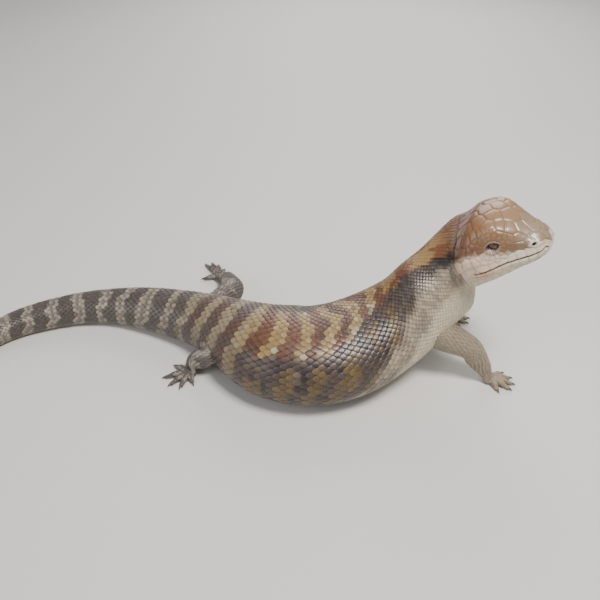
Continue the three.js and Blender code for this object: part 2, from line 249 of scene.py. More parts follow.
class Loft:
    """A closed form along a spine. A knot is x, y, z, half width, height, depth and lean.

    Sections stand square to the spine, except at the knots that facing gives a direction.
    Each becomes a row of points in even steps around. The share around is 0 at the top and goes
    on the right to -1 and on the left to 1, at the bottom.
    """

    def __init__(self, knots, roundness, step, grow, around, shares, facing=None):
        knots = np.array(knots, float)
        self.last = len(knots) - 1
        index = np.arange(len(knots))
        along = unit(knots[np.minimum(index + 1, self.last), :3] - knots[np.maximum(index - 1, 0), :3])
        for i, way in (facing or {}).items():
            along[i] = way
        self.knots = np.c_[knots, along]
        fine = np.linspace(0, self.last, SPINE_FINENESS * self.last + 1)
        run = run_along(self.spline(fine)[:, :3])
        self.fine, self.run, self.length = fine, run, run[-1]
        count = int(self.length / step)
        self.build(np.linspace(0, self.length, count + 1), roundness, grow, around, shares)

    def spline(self, u):
        """Rows between the knots, on a smooth curve through them."""
        u = np.clip(u, 0, self.last)
        i = np.minimum(u.astype(int), self.last - 1)
        f = (u - i)[:, None]
        a, b, c, d = (self.knots[np.clip(i + k, 0, self.last)] for k in (-1, 0, 1, 2))
        m0, m1, rise = (c - a) / 2, (d - b) / 2, c - b
        return b + f * (m0 + f * (3 * rise - 2 * m0 - m1 + f * (m0 + m1 - 2 * rise)))

    def frames(self, s):
        """Place among the knots, row, left and top at distances along the spine."""
        u = np.interp(s, self.run, self.fine)
        rows = self.spline(u)
        forward = unit(rows[:, 7:10])
        flat = unit(np.c_[-forward[:, 1], forward[:, 0], 0 * u])
        lean = rows[:, 6:7]
        left = flat * np.cos(lean) + np.cross(forward, flat) * np.sin(lean)
        return u, rows, left, np.cross(forward, left)

    def build(self, s, roundness, grow, around, shares):
        """Fills the grids of points and normals, one ring for each place along the spine."""
        u, rows, left, top = self.frames(s)
        lowest = max(-grow, 0) / 2
        angle = np.linspace(math.pi / 2, -math.pi / 2, around)
        sine, cosine = np.sin(angle), np.abs(np.cos(angle))
        share = np.linspace(-1, 1, shares)
        crown = shares // 2
        points = np.empty((len(s), shares, 3))
        half_around, mouth = np.empty(len(s)), np.empty(len(s))
        for r in range(len(s)):
            high, low = roundness(u[r], rows[r])
            power = np.where(sine > 0, 2 / high, 2 / low)
            out = (rows[r, 3] + grow) * cosine**power
            reach = np.where(sine > 0, rows[r, 4], rows[r, 5]) + grow
            rise = reach * np.sign(sine) * np.abs(sine) ** power
            base = rows[r, :3] + rise[:, None] * top[r]
            lengths = []
            for side, half in ((-1, slice(None, crown + 1)), (1, slice(crown, None))):
                profile = base + side * out[:, None] * left[r]
                profile[:, 2] = np.maximum(profile[:, 2], lowest)
                run = run_along(profile)
                lengths.append(run[-1])
                wanted = np.abs(share[half]) * run[-1]
                for axis in range(3):
                    points[r, half, axis] = np.interp(wanted, run, profile[:, axis])
            half_around[r] = np.mean(lengths)
            mouth[r] = np.interp(math.pi / 2, math.pi / 2 - angle, run) / run[-1]
        self.s, self.share, self.half_around, self.mouth = s, share, half_around, mouth
        self.points, self.left, self.top, self.rows = points, left, top, rows
        down_spine = np.gradient(points, s, axis=0)
        over = np.gradient(points, share, axis=1)
        over[:, 0] = over[:, -1] = (over[:, 0] + over[:, -1]) / 2
        self.normals = unit(np.cross(over, down_spine))
        if np.sum((points[:, crown] - rows[:, :3]) * self.normals[:, crown]) < 0:
            self.normals = -self.normals

    def sample(self, grid, s, share):
        """Grid values at distances along the spine and shares around, both arrays."""
        i = np.clip(np.interp(s, self.s, np.arange(len(self.s))), 0, len(self.s) - 1.001)
        j = ((np.asarray(share) + 1) % 2) / 2 * (len(self.share) - 1)
        i0, j0 = i.astype(int), np.minimum(j.astype(int), len(self.share) - 2)
        fi, fj = (i - i0)[..., None], (j - j0)[..., None]
        low = grid[i0, j0] * (1 - fj) + grid[i0, j0 + 1] * fj
        high = grid[i0 + 1, j0] * (1 - fj) + grid[i0 + 1, j0 + 1] * fj
        return low * (1 - fi) + high * fi

    def at(self, s, share):
        """Places and normals on the surface."""
        return self.sample(self.points, s, share), unit(self.sample(self.normals, s, share))

    def half_at(self, s):
        """The way around from the top to the bottom."""
        return np.interp(s, self.s, self.half_around)


def body_roundness(u, row):
    along = (row[:3] - EAR_POINT) @ head_forward
    skull = smoothstep(along, 0, SKULL_BLEND) if u > EAR_KNOT else 0
    return tuple(power + more * skull for power, more in zip(TRUNK_POWERS, SKULL_SQUARER))


def limb_roundness(u, row):
    return LIMB_POWERS


EAR_KNOT = len(BODY_STATIONS)

# From this x on the neck's sections lean more and more, up to the head's roll
LEAN_FROM = 60


def body_knots():
    """Knots of the spine from the tail's tip to the snout."""
    knots = []
    for x, y, half, up, down, clearance in BODY_STATIONS:
        lean = HEAD_ROLL * smoothstep(x, LEAN_FROM, EAR_POINT[0])
        z = clearance + down - (BELLY_PRESS if clearance == 0 else 0)
        knots.append((x, y, z, half, up, down, lean))
    for along, half, up, down in HEAD_STATIONS:
        x, y, z = EAR_POINT + along * head_forward
        knots.append((x, y, z, half, up, down, HEAD_ROLL))
    return knots


def body_facing():
    """Directions of the sections in the neck and the head."""
    ways = {k: head_forward for k in range(EAR_KNOT, EAR_KNOT + len(HEAD_STATIONS))}
    for k, turn in enumerate(NECK_TURNS):
        ways[EAR_KNOT - 2 + k] = direction(*map(math.radians, turn))
    return ways


body = Loft(body_knots(), body_roundness, **BODY_GRID, facing=body_facing())
S_EAR = float(np.interp(EAR_KNOT, body.fine, body.run))


# How much fuller a leg's two parts are than the mean of their ends, and where the lower one is
# fullest, and the ends of the palm
UPPER_SWELL = 0.7
LOWER_SWELL = 0.9
LOWER_FULLEST = 0.42
PALM_REAR = 1.0
PALM_FRONT = 4.2

# Share of the way along a toe, height of its middle and half width
TOE_ROWS = [
    (0, 2.7, TOE_ROOT * 1.05),
    (0.3, 3.0, TOE_ROOT * 0.98),
    (0.55, 2.9, TOE_ROOT * 0.96),
    (0.78, 2.0, TOE_TIP * 1.1),
    (1, TOE_TIP, TOE_TIP * 0.98),
]
TOE_START = PALM_HALF * 0.45


def leg_knots(leg):
    """Knots of a leg from its root, sunk in the body, to the front of the palm."""
    root_r, joint_r, end_r = leg["radii"]
    root, joint, end = (np.array(leg[key], float) for key in ("root", "joint", "end"))
    palm = np.array([*leg["palm"], PALM_HEIGHT * 0.6])
    aim = unit((palm - end) * [1, 1, 0])
    aim = unit(aim + direction(np.mean([math.radians(degrees) for degrees, _ in leg["toes"]])))
    upper = (root_r + joint_r) / 2 + UPPER_SWELL
    lower = (joint_r + end_r) / 2 + LOWER_SWELL
    rows = [
        (root, root_r, root_r),
        ((root + joint) / 2, upper, upper),
        (joint, joint_r, joint_r),
        (joint + (end - joint) * LOWER_FULLEST, lower, lower),
        (end, end_r, end_r * 0.95),
        (palm - aim * PALM_REAR, PALM_HALF * 0.92, PALM_HEIGHT * 0.6),
        (palm + aim * PALM_FRONT, PALM_HALF * 0.8, PALM_HEIGHT * 0.42),
    ]
    return [(*p, half, height, min(height, p[2]), 0) for p, half, height in rows]


def toe_knots(leg, degrees, reach):
    """Knots of a toe, arched up a little between the palm and its claw."""
    knots = []
    for part, z, half in TOE_ROWS:
        r = TOE_START + (reach - CLAW_LENGTH - TOE_START) * part
        x, y = leg["palm"] + r * direction(math.radians(degrees))[:2]
        knots.append((x, y, z, half, half, min(half, z), 0))
    return knots


legs = {}
toes = {}
for leg_name, leg in LEGS.items():
    legs[leg_name] = Loft(leg_knots(leg), limb_roundness, **LEG_GRID)
    toes[leg_name] = [Loft(toe_knots(leg, *toe), limb_roundness, **TOE_GRID) for toe in leg["toes"]]

# Markings

RUST = colour("623f2b")
DARK_RUST = colour("452d21")
OCHRE = colour("8a7045")
PALE_OCHRE = colour("a39168")
WHITISH = colour("b9ad94")
BLACKISH = colour("2f2724")
PURPLE = colour("4d3f39")
FLANK_OCHRE = colour("6f5a38")
GREY = colour("7c7165")
PALE_GREY = colour("a5967f")
CREAM = colour("c9bea4")
TAIL_BROWN = colour("534b45")
TAIL_GREY = colour("877f75")
PELVIS_BROWN = colour("553a2d")
PELVIS_LIGHT = colour("85775f")
ARM_TAN = colour("948670")
LEG_DARK = colour("544b45")
LEG_LIGHT = colour("8d867b")
HEAD_TAN = colour("866648")
CROWN = colour("70462a")
SNOUT_GREY = colour("8a7a67")
STREAK = colour("5f3b26")
CHEEK = colour("d5bca3")
JAW = colour("d2c7b2")
THROAT = colour("c4b996")
LIP_PINK = colour("9c6751")
# The lips' dark red, deepened as painted shade in the mouth's slit
LIP_RED_AND_SLIT_SHADE = colour("5a3024")
NAPE_RUST = colour("6b4127")
NAPE_YELLOW = colour("8c6e40")
NEAR_BLACK = colour("120c0a")
LID_PALE = colour("937f6d")

# The bands lie BAND apart, lean back by TILT for each whole share down the side, and one of
# them crosses the back at BAND_START. The middle of the pattern wanders round the bent body.
BAND = 19.6
BAND_WANDER = 0.35
TILT_S = [280, 322]
TILT = [8, 48]
BAND_START = 354.0
PATTERN_S = [240, 290, 312, 343, 357, 370, 399, 433, 447, 460]
PATTERN_SHIFT = [0, -0.10, -0.06, 0.03, 0.12, 0.20, 0.28, 0.19, 0.05, 0]
DARK_S = [330, 360, 400, 425, 445]
DARK_END = [0.60, 0.54, 0.46, 0.39, 0.36]
BACK_S = [350, 390, 430]
BACK_EDGE = [0.20, 0.23, 0.25]
S_HIP = 222.0
S_PELVIS = (205, 230)
S_TRUNK = (262, 290)
S_NECK = (368, 398)


def off_band(phase):
    """How far a place is from the middle of its light band, as a share of the spacing."""
    return np.abs((phase + 0.5) % 1 - 0.5)


def pattern(s, share):
    """Where places lie in the markings: beside the back's middle, in the bands and in the noise."""
    s, share = np.broadcast_arrays(np.asarray(s, float), np.asarray(share, float))
    middle = np.interp(s, PATTERN_S, PATTERN_SHIFT)
    side = np.abs((share - middle + 1) % 2 - 1)
    grain = noise(s / 2.1, share * 23, 2)
    ragged = side + 0.05 * (noise(s / 7, 0 * s, 4) - 0.5) + 0.02 * (grain - 0.5)
    phase = (s + np.interp(s, TILT_S, TILT) * side - BAND_START) / BAND
    phase = phase + BAND_WANDER * (noise(s / 14, share * 5, 1) - 0.5)
    return SimpleNamespace(
        s=s, from_middle=share - middle, side=side, ragged=ragged, phase=phase,
        grain=grain, patch=noise(s / 9, share * 7, 3), back_edge=np.interp(s, BACK_S, BACK_EDGE),
        trunk=smoothstep(s, *S_TRUNK), neck=smoothstep(s, *S_NECK),
    )


def back_colour(at):
    """Bands of rust and ochre, a pale hem at the back's edge, and streaks on the nape."""
    off = off_band(at.phase)
    light = smoothstep(off, 0.27, 0.21)
    dark = blend(RUST, DARK_RUST, at.patch + 0.3 * at.grain, 0.55, 1.10)
    dark = mix(mix(PELVIS_BROWN, TAIL_BROWN, at.grain), dark, at.trunk)
    bright = mix(PELVIS_LIGHT, blend(OCHRE, PALE_OCHRE, at.grain, 0.6, 0.9, 0.7), at.trunk)
    back = blend(mix(dark, bright, light), DARK_RUST, at.grain, 0.16, 0.08, light * 0.6)
    hem = bell(at.ragged, at.back_edge - 0.025, 0.035) * smoothstep(off, 0.34, 0.2)
    back = blend(back, WHITISH, at.grain, 0.52, 0.68, hem * at.trunk * 0.6)
    streak = noise(at.s / 17, at.from_middle * 19, 5) + 0.35 * (at.grain - 0.5)
    nape = blend(NAPE_RUST, NAPE_YELLOW, streak, 0.44, 0.56)
    nape = blend(nape, CROWN, at.s, S_EAR - 20, S_EAR + 4, 0.7)
    return mix(back, nape, at.neck)


def flank_colour(at):
    """Dark, with ochre spots below the light bands, and black behind the head."""
    spot = smoothstep(off_band(at.phase + 0.08), 0.29, 0.22) * (1 - at.neck)
    spot = spot * smoothstep(at.patch + 0.15 * at.grain, 0.30, 0.45)
    spot = spot * smoothstep(at.side, at.back_edge + 0.04, at.back_edge + 0.10)
    flank = blend(PURPLE, BLACKISH, at.grain, 0.3, 0.8, 0.9)
    flank = mix(flank, mix(FLANK_OCHRE, FLANK_OCHRE * 0.6, at.grain), spot * 0.9)
    flank = blend(flank, GREY, at.grain, 0.80, 0.92, 0.35)
    return blend(flank, NEAR_BLACK, at.s, S_EAR - 34, S_EAR - 10, 0.6)


def trunk_colour(at, back):
    """From the back down, the dark flank, the grey lower side and the cream belly."""
    low = mix(GREY, PALE_GREY, 0.25 + 0.75 * smoothstep(at.grain, 0.2, 0.8))
    low = blend(low, PURPLE, at.patch, 0.5, 0.8, 0.6 * (1 - at.neck))
    dark_end = np.interp(at.s, DARK_S, DARK_END)
    trunk = blend(back, flank_colour(at), at.ragged, at.back_edge - 0.015, at.back_edge + 0.02)
    trunk = blend(trunk, low, at.ragged, dark_end - 0.04, dark_end + 0.04)
    return blend(trunk, CREAM, at.ragged, dark_end + 0.16, dark_end + 0.26)


def tail_colour(at):
    """Rings of grey and brown. A light ring has a darker core."""
    off = off_band(at.phase)
    ring = smoothstep(off, 0.23, 0.17) * (1 - 0.65 * smoothstep(off, 0.08, 0.04))
    bright = blend(mix(TAIL_GREY, PALE_GREY, 0.6 * at.grain), PELVIS_LIGHT, at.s, 150, 215, 0.7)
    tail = mix(mix(TAIL_BROWN, BLACKISH, 0.35 * at.grain), bright, ring)
    return blend(tail, PALE_GREY, at.side, 0.62, 0.80, 0.8)


def body_colour(s, share):
    """The markings of trunk, neck and tail, by distance along the spine and share around."""
    at = pattern(s, share)
    back = back_colour(at)
    pelvis = blend(back, PURPLE, at.side, 0.35, 0.55, 0.5)
    pelvis = blend(pelvis, PALE_GREY, at.side, 0.66, 0.82, 0.8)
    rear = blend(tail_colour(at), pelvis, at.s, *S_PELVIS)
    return mix(rear, trunk_colour(at, back), at.trunk)


def leg_colour(name, s, share):
    s, share = np.broadcast_arrays(np.asarray(s, float), np.asarray(share, float))
    grain = noise(s / 2.3, share * 11, 6)
    patch = noise(s / 8, share * 3, 7)
    if name.startswith("hind"):
        plain = blend(LEG_DARK, LEG_LIGHT, patch + 0.5 * (grain - 0.5), 0.40, 0.75)
    else:
        plain = mix(ARM_TAN, GREY, 0.35 * patch + 0.3 * smoothstep(grain, 0.6, 0.9))
    return blend(plain, CREAM, np.abs(share), 0.7, 0.9, 0.6)


# Meshes

CAP_STEPS = (0.3, 0.55, 0.75, 0.9, 0.98)
CHUNK = 4000


def add_object(name, data):
    """Puts a mesh, a lamp or a camera into the scene."""
    made = bpy.data.objects.new(name, data)
    bpy.context.scene.collection.objects.link(made)
    return made


def mesh_object(name, points, face_groups, colours, uvs=None):
    """A mesh from points in millimetres and arrays of faces, each with its own number of corners."""
    mesh = bpy.data.meshes.new(name)
    placed = (points + OFFSET) / 1000
    corners = np.concatenate([g.ravel() for g in face_groups]).astype(np.int32)
    sizes = np.concatenate([np.full(len(g), g.shape[1]) for g in face_groups]).astype(np.int32)
    mesh.vertices.add(len(placed))
    mesh.vertices.foreach_set("co", placed.astype(np.float32).ravel())
    mesh.loops.add(len(corners))
    mesh.loops.foreach_set("vertex_index", corners)
    mesh.polygons.add(len(sizes))
    mesh.polygons.foreach_set("loop_start", np.r_[0, np.cumsum(sizes)[:-1]].astype(np.int32))
    mesh.update(calc_edges=True)
    mesh.polygons.foreach_set("use_smooth", np.ones(len(sizes), bool))
    layer = mesh.color_attributes.new("Markings", "FLOAT_COLOR", "POINT")
    rgba = np.c_[colours, np.ones(len(colours))]
    layer.data.foreach_set("color", rgba.astype(np.float32).ravel())
    if uvs is not None:
        layer = mesh.uv_layers.new(name="OFBake")
        layer.data.foreach_set("uv", uvs[corners].astype(np.float32).ravel())
    return add_object(name, mesh)


def select_only(objects):
    bpy.ops.object.select_all(action="DESELECT")
    for made in objects:
        made.select_set(True)
    bpy.context.view_layer.objects.active = objects[0]


def grid_places(s, share):
    """Distances and shares around for all points of a grid."""
    return np.repeat(s, len(share)), np.tile(share, len(s))


def grid_faces(rows, columns, start=0, closed=True):
    """Faces with four corners between rows of points."""
    across = np.arange(columns if closed else columns - 1)
    a = start + np.arange(rows - 1)[:, None] * columns + across
    b = start + np.arange(rows - 1)[:, None] * columns + (across + 1) % columns
    return np.stack([a, b, b + columns, a + columns], axis=-1).reshape(-1, 4)


def capped(rings, ends):
    """Adds rounded caps to rings of points: ends gives how far each cap reaches out."""
    for end, reach in zip((0, -1), ends):
        if not reach:
            continue
        ring, inner = rings[end], rings[1 if end == 0 else -2]
        centre = ring.mean(axis=0)
        away = unit(centre - inner.mean(axis=0)) * reach
        cap = np.array([centre + (ring - centre) * math.sqrt(1 - t * t) + away * t for t in CAP_STEPS])
        rings = np.concatenate([cap[::-1], rings] if end == 0 else [rings, cap])
    return rings


def tube_mesh(rings):
    """Closed mesh data through rings: points, faces with four corners, and the two end faces."""
    count, columns = rings.shape[:2]
    ends = np.array([np.arange(columns), (count - 1) * columns + np.arange(columns)[::-1]])
    return rings.reshape(-1, 3), [grid_faces(count, columns), ends]


def chunks(count):
    """Slices of a long array, so that a table of distances stays small."""
    return [slice(start, start + CHUNK) for start in range(0, count, CHUNK)]


# The head's surface. A place on it is given by its distance from the ear and by v, the share of
# the way around from the crown to the mouth line.

HEAD_FROM = S_EAR - 16
HEAD_MARGIN = 6
OUTSIDE_EYE = 5

head_rows = body.s > HEAD_FROM - HEAD_MARGIN
head_along = (body.rows[head_rows, :3] - EAR_POINT) @ head_forward
head_arc = (body.mouth * body.half_around)[head_rows]
head_half = body.half_around[head_rows]

# Centres of the shields on the crown, the snout, the temple and the cheek
SHIELDS = [
    (61.8, 0.0), (61.3, 0.8), (57.2, 0.42), (53.5, 0.0), (49.4, 0.24), (41.3, 0.0), (43.9, 0.36),
    (38.1, 0.38), (32.4, 0.38), (32.9, 0.11), (27.4, 0.0), (25.1, 0.27), (47.4, 0.50), (43.1, 0.53),
    (38.7, 0.55), (34.4, 0.55), (29.6, 0.52), (52.9, 0.66), (48.2, 0.68), (43.3, 0.72),
    (18.1, 0.12), (11.5, 0.09), (18.4, 0.34), (11.8, 0.28), (24, 0.50), (18.7, 0.52), (12.5, 0.47),
    (26.5, 0.68), (21.1, 0.69), (15, 0.67), (8.7, 0.62), (5.2, 0.15), (5.7, 0.36), (3, 0.50),
    (23.5, 0.84), (17.6, 0.85), (11.1, 0.83), (5.4, 0.80),
]

# Centres behind the mouth's corner and along the head's rear edge
REAR_SHIELDS = [
    (7, 0.97), (12, 1.0), (16.5, 1.0), (2.6, 1.05), (0.5, 0.68), (-1, 0.9), (-3, 0.3), (-3, 0.08),
]

# Rows along the mouth line: number, first one's distance from the ear, step and way below the line
UPPER_LIP = (7, 57.6, 5.1, -3.0)
LOWER_LIP = (9, 57.9, 4.9, 2.3)
THROAT_ROWS = 9
THROAT_ROW = (15, 54, 4.5, 6.6)
THROAT_SPACING = 4.6
THROAT_MARGIN = 1.5

# Rings of small scales round the eye: radius, number and turn
EYE_RINGS = ((7.2, 15, 0.0), (9.3, 16, 0.4))
EYE_CLEARANCE = 9.2

# The mouth line dips towards its corner
MOUTH_DIP = 2.0
MOUTH_DIP_ALONG = (42, 24)

# Reach forward of the neck's scales, by share around
NAPE_SHARE = [0, 0.2, 0.35, 0.45, 0.55, 0.7, 0.8, 1]
NAPE_REACH = [9, 8, 3, 2, 5, 7, 5, 1]

# The dark streak from the eye back, and the groove and fold of the temple below it
STREAK_ALONG = [0, 14, 26, 36, 50, 58]
STREAK_LOW = [0.66, 0.70, 0.74, 0.80, 0.80, 0.78]
STREAK_HIGH = [0.30, 0.44, 0.54, 0.60, 0.66, 0.70]
TEMPLE_ALONG = [0, 14, 26, 36]
TEMPLE_EDGE = [0.66, 0.70, 0.76, 0.82]

# Heights and depths of the relief
SHIELD_HEIGHT = 0.30
CREASE_DEPTH = 0.24
WRINKLE_HEIGHT = 0.9
BROW_HEIGHT = 2.3
SNOUT_DROP = 1.5
TEMPLE_GROOVE = 0.5
TEMPLE_FOLD = 0.7
LORE_DEPTH = 0.7
MOUTH_DEPTH = 1.5
LIP_HEIGHT = 0.4
CORNER_FOLD = 0.6

# Middle and reach of single forms, along the head, in v or across the mouth line
BROW_ALONG = (33.5, 9.5)
BROW_ABOVE_EYE = 0.25
BROW_WIDTH = 0.13
LORE_V = (0.74, 0.09)
LIPS_OFF = (1.5, 1.0)
CORNER_ALONG = (25, 7)
CORNER_BELOW = (1.5, 1.1)

# Pits with a raised rim, in a plate of their own tint
NOSTRIL_PIT = dict(size=(1.6, 1.6, 0.95), depth=1.6, rim=0.35, plate=2.6, tint=JAW)
EAR_PIT = dict(size=(1.7, 2.4, 3.0), depth=3.0, rim=0.25, plate=1.6, tint=STREAK)

LID_RADIUS = 6.1
LID_SPREAD = 12
LID_SOFTNESS = 0.9
LID_RIM = 0.28
LID_FOLD = 0.25
EYE_HOLLOW = 0.9

# Half width of the opening between the lids and its reach up and down, as shares of LID_RADIUS
LID_OPENING = (0.76, 0.46, 0.56)
LID_FRONT = 0.1


def mouth_reach(along):
    """The way around from the crown to the mouth line's straight course."""
    return np.interp(along, head_along, head_arc)


def mouth_bend(along):
    """How far the mouth line dips below its straight course."""
    return MOUTH_DIP * smoothstep(along, *MOUTH_DIP_ALONG)


def nape_limit(share):
    """How far forward the neck's scales reach, from the nape round to the throat."""
    return S_EAR + np.interp(np.abs(share), NAPE_SHARE, NAPE_REACH)


def share_near(point):
    """The share around at which the body's surface comes nearest to a point."""
    gap = norm(body.points - point)
    column = np.unravel_index(np.argmin(gap), gap.shape)[1]
    return abs(body.share[column])


eye_share = share_near(in_head(EYE[0], EYE[1] + OUTSIDE_EYE, EYE[2]))
eye_share /= np.interp(EYE[0], head_along, body.mouth[head_rows])


def shield_row(count, first, step, below):
    """Centres of a row of shields that follows the mouth line back."""
    along = first - step * np.arange(count)
    return list(zip(along, 1 + (mouth_bend(along) + below) / mouth_reach(along)))


def shield_centres():
    """Centres of the shields of one side."""
    centres = SHIELDS + shield_row(*UPPER_LIP) + shield_row(*LOWER_LIP)
    count, first, step, below = THROAT_ROW
    for row in range(THROAT_ROWS):
        start = first - step / 2 * (row % 2)
        for along, v in shield_row(count, start, step, below + THROAT_SPACING * row):
            if v * mouth_reach(along) < np.interp(along, head_along, head_half) - THROAT_MARGIN:
                centres.append((along, v))
    return np.array(centres + REAR_SHIELDS)


def all_centres():
    """Distances and shares v of the centres of both sides, with v negative on the right."""
    centres = shield_centres()
    mirrored = centres[centres[:, 1] > 0] * [1, -1]
    x, v = np.concatenate([centres, mirrored]).T
    eye_reach = mouth_reach(EYE[0])
    clear = np.hypot(x - EYE[0], (np.abs(v) - eye_share) * eye_reach) >= EYE_CLEARANCE
    x, v = x[clear], v[clear]
    for radius, number, turn in EYE_RINGS:
        angle = 2 * math.pi * (np.arange(number) + turn) / number
        ring_x = EYE[0] + radius * np.cos(angle)
        ring_v = eye_share + radius * np.sin(angle) / eye_reach
        x, v = np.r_[x, ring_x, ring_x], np.r_[v, -ring_v, ring_v]
    return x, v


def cells(x, y, centres_x, centres_y):
    """Nearest centre of each point and the distance to the border with the next one."""
    nearest = np.empty(len(x), int)
    border = np.empty(len(x))
    for cut in chunks(len(x)):
        square = (x[cut, None] - centres_x) ** 2 + (y[cut, None] - centres_y[cut]) ** 2
        rows = np.arange(len(square))
        order = np.argpartition(square, 1, axis=1)[:, :2]
        swap = square[rows, order[:, 0]] > square[rows, order[:, 1]]
        order[swap] = order[swap][:, ::-1]
        first, second = order[:, 0], order[:, 1]
        rise = centres_y[cut][rows, first] - centres_y[cut][rows, second]
        gap = np.hypot(centres_x[first] - centres_x[second], rise)
        border[cut] = (square[rows, second] - square[rows, first]) / (2 * np.maximum(gap, 1e-6))
        nearest[cut] = first
    return nearest, border


def head_colour(along, v):
    """Streaked brown above, a dark streak behind the eye, and a pale cheek, jaw and throat."""
    top = blend(blend(HEAD_TAN, CROWN, along, 34, 10), SNOUT_GREY, along, 38, 52, 0.7)
    top = blend(top, STREAK, noise(along / 6, v * 17, 8), 0.44, 0.62, smoothstep(along, 36, 14) * 0.6)
    high = np.interp(along, STREAK_ALONG, STREAK_HIGH)
    low = np.interp(along, STREAK_ALONG, STREAK_LOW)
    shade = blend(top, STREAK, v, high - 0.06, high + 0.06, 0.35)
    shade = blend(shade, blend(CHEEK, JAW, along, 26, 48), v, low - 0.04, low + 0.04)
    return blend(shade, THROAT, v, 1.02, 1.25)


def shield_relief(along, v, y, reach):
    """Height and colour of the shields, and how near each place is to the crease between two."""
    centres_x, centres_v = all_centres()
    nearest, border = cells(along, y, centres_x, centres_v * reach[:, None])
    own_x, own_v = centres_x[nearest], np.abs(centres_v[nearest])
    overlap = np.clip(smoothstep(own_x, 36, 24) + smoothstep(own_v, 1.05, 1.2), 0, 1)
    wrinkled = smoothstep(along, 24, 8) * smoothstep(v, 0.12, 0.30) * smoothstep(v, 0.92, 0.74)
    height = SHIELD_HEIGHT * (1 - np.exp(-border / 0.9)) - CREASE_DEPTH * bell(border, 0, 0.26)
    height += overlap * 0.05 * np.clip(own_x - along, -4, 4)
    height += wrinkled * WRINKLE_HEIGHT * (noise(along / 4.5 + v * 3, v * 9, 9) - 0.5)
    tone = 0.95 + 0.10 * noise(own_x * 3.7, own_v * 31 + 5, 8)
    tone = tone * (0.94 + 0.12 * noise(along * 1.7, y * 1.7, 9))
    shade = mix(head_colour(along, v), head_colour(own_x, own_v), 0.6) * tone[:, None]
    return height, shade, bell(border, 0, 0.32)


def large_forms(along, v):
    """Height of the brow, the snout's sloping sides, the temple and the hollow before the eye."""
    brow = bell(along, *BROW_ALONG) * bell(v, eye_share - BROW_ABOVE_EYE, BROW_WIDTH)
    snout = smoothstep(along, 45, 54) * smoothstep(v, 0.72, 0.35)
    edge = np.interp(along, TEMPLE_ALONG, TEMPLE_EDGE)
    temple = TEMPLE_FOLD * bell(v, edge + 0.11, 0.08) - TEMPLE_GROOVE * bell(v, edge, 0.022)
    temple = temple * smoothstep(along, 2, 8) * smoothstep(along, 30, 22)
    lore = bell(v, *LORE_V) * smoothstep(along, 40, 44) * smoothstep(along, 54, 49)
    return BROW_HEIGHT * brow - SNOUT_DROP * snout + temple - LORE_DEPTH * lore


def mouth_relief(along, below, shade):
    """Height and colour of the lips, the line between them and the fold at its corner."""
    opened = smoothstep(along, MOUTH_CORNER - 4, MOUTH_CORNER + 1)
    groove = opened * bell(below, 0, 0.38)
    lips = opened * bell(np.abs(below), *LIPS_OFF)
    fold = bell(along, *CORNER_ALONG) * bell(below, *CORNER_BELOW)
    shade = mix(shade, LIP_PINK, fold * 0.9)
    # The line between the lips is painted dark red: partly the lips' own colour, partly painted shade in
    # the slit
    shade = mix(shade, LIP_RED_AND_SLIT_SHADE, np.clip(groove * 1.4, 0, 1))
    return LIP_HEIGHT * lips + CORNER_FOLD * fold - MOUTH_DEPTH * groove, shade


def sink(p, shade, n, centre, pit):
    """Presses an oval pit with a raised rim into the surface."""
    far = norm((p - centre) @ HEAD_AXES.T / pit["size"])
    hole = smoothstep(far, 1.15, 0.55)
    p = p + n * (pit["rim"] * bell(far, 1.35, 0.35) - pit["depth"] * hole)[:, None]
    shade = blend(shade, pit["tint"], far, pit["plate"], pit["plate"] - 0.5, 0.7)
    # The inside of the pit is painted near black: painted shade in the hole
    return p, mix(shade, NEAR_BLACK, np.clip(hole * 1.5, 0, 1))


def eye_axes(side):
    """Directions out of the eye, ahead of it and over it."""
    outward = unit(side * head_left + 0.12 * head_forward + 0.10 * head_top)
    ahead = unit(head_forward - outward * (head_forward @ outward))
    return outward, ahead, np.cross(ahead, outward) * side


def shape_eye(p, shade, side):
    """Swells the skin over one eye, opens it between two lids and colours it."""
    centre = on_side(EYE, side)
    near = norm(p - centre) < LID_SPREAD
    d = p[near] - centre
    r = norm(d)
    z, x, y = (d @ axis / LID_RADIUS for axis in eye_axes(side))
    front, upper = z > LID_FRONT, y > 0
    ball = np.clip(0.5 + 0.5 * (LID_RADIUS - r) / LID_SOFTNESS, 0, 1)
    radius = r * (1 - ball) + LID_RADIUS * ball + LID_SOFTNESS * ball * (1 - ball) * 0.5
    half, high, low = LID_OPENING
    arch = np.clip(1 - (x / half) ** 2, 0, 1)
    inside = np.where(upper, high, low) * arch**0.8 - np.abs(y)
    inside = np.where(front & (np.abs(x) < half), inside, -0.5)
    hole = smoothstep(inside, -0.01, 0.07)
    rim = bell(inside, -0.10, 0.07) * front
    fold = bell(inside, -0.30, 0.05) * front
    radius = (radius + LID_RIM * rim - LID_FOLD * fold) * (1 - hole) + (EYE_RADIUS - EYE_HOLLOW) * hole
    p[near] = centre + d / r[:, None] * radius[:, None]
    tint = blend(shade[near], LID_PALE * 0.85, inside, -0.55, -0.2, front * np.where(upper, 0.2, 0.5))
    tint = mix(tint, LID_PALE, rim * 0.8)
    # The fold round the lids is darkened, more above the eye: painted shade in the fold
    tint = mix(tint, STREAK * 0.6, fold * np.where(upper, 0.8, 0.3))
    # Where the lids open, the skin is painted near black: painted shade round the eyeball
    shade[near] = mix(tint, NEAR_BLACK, np.clip(hole * 2, 0, 1))
    return p, shade


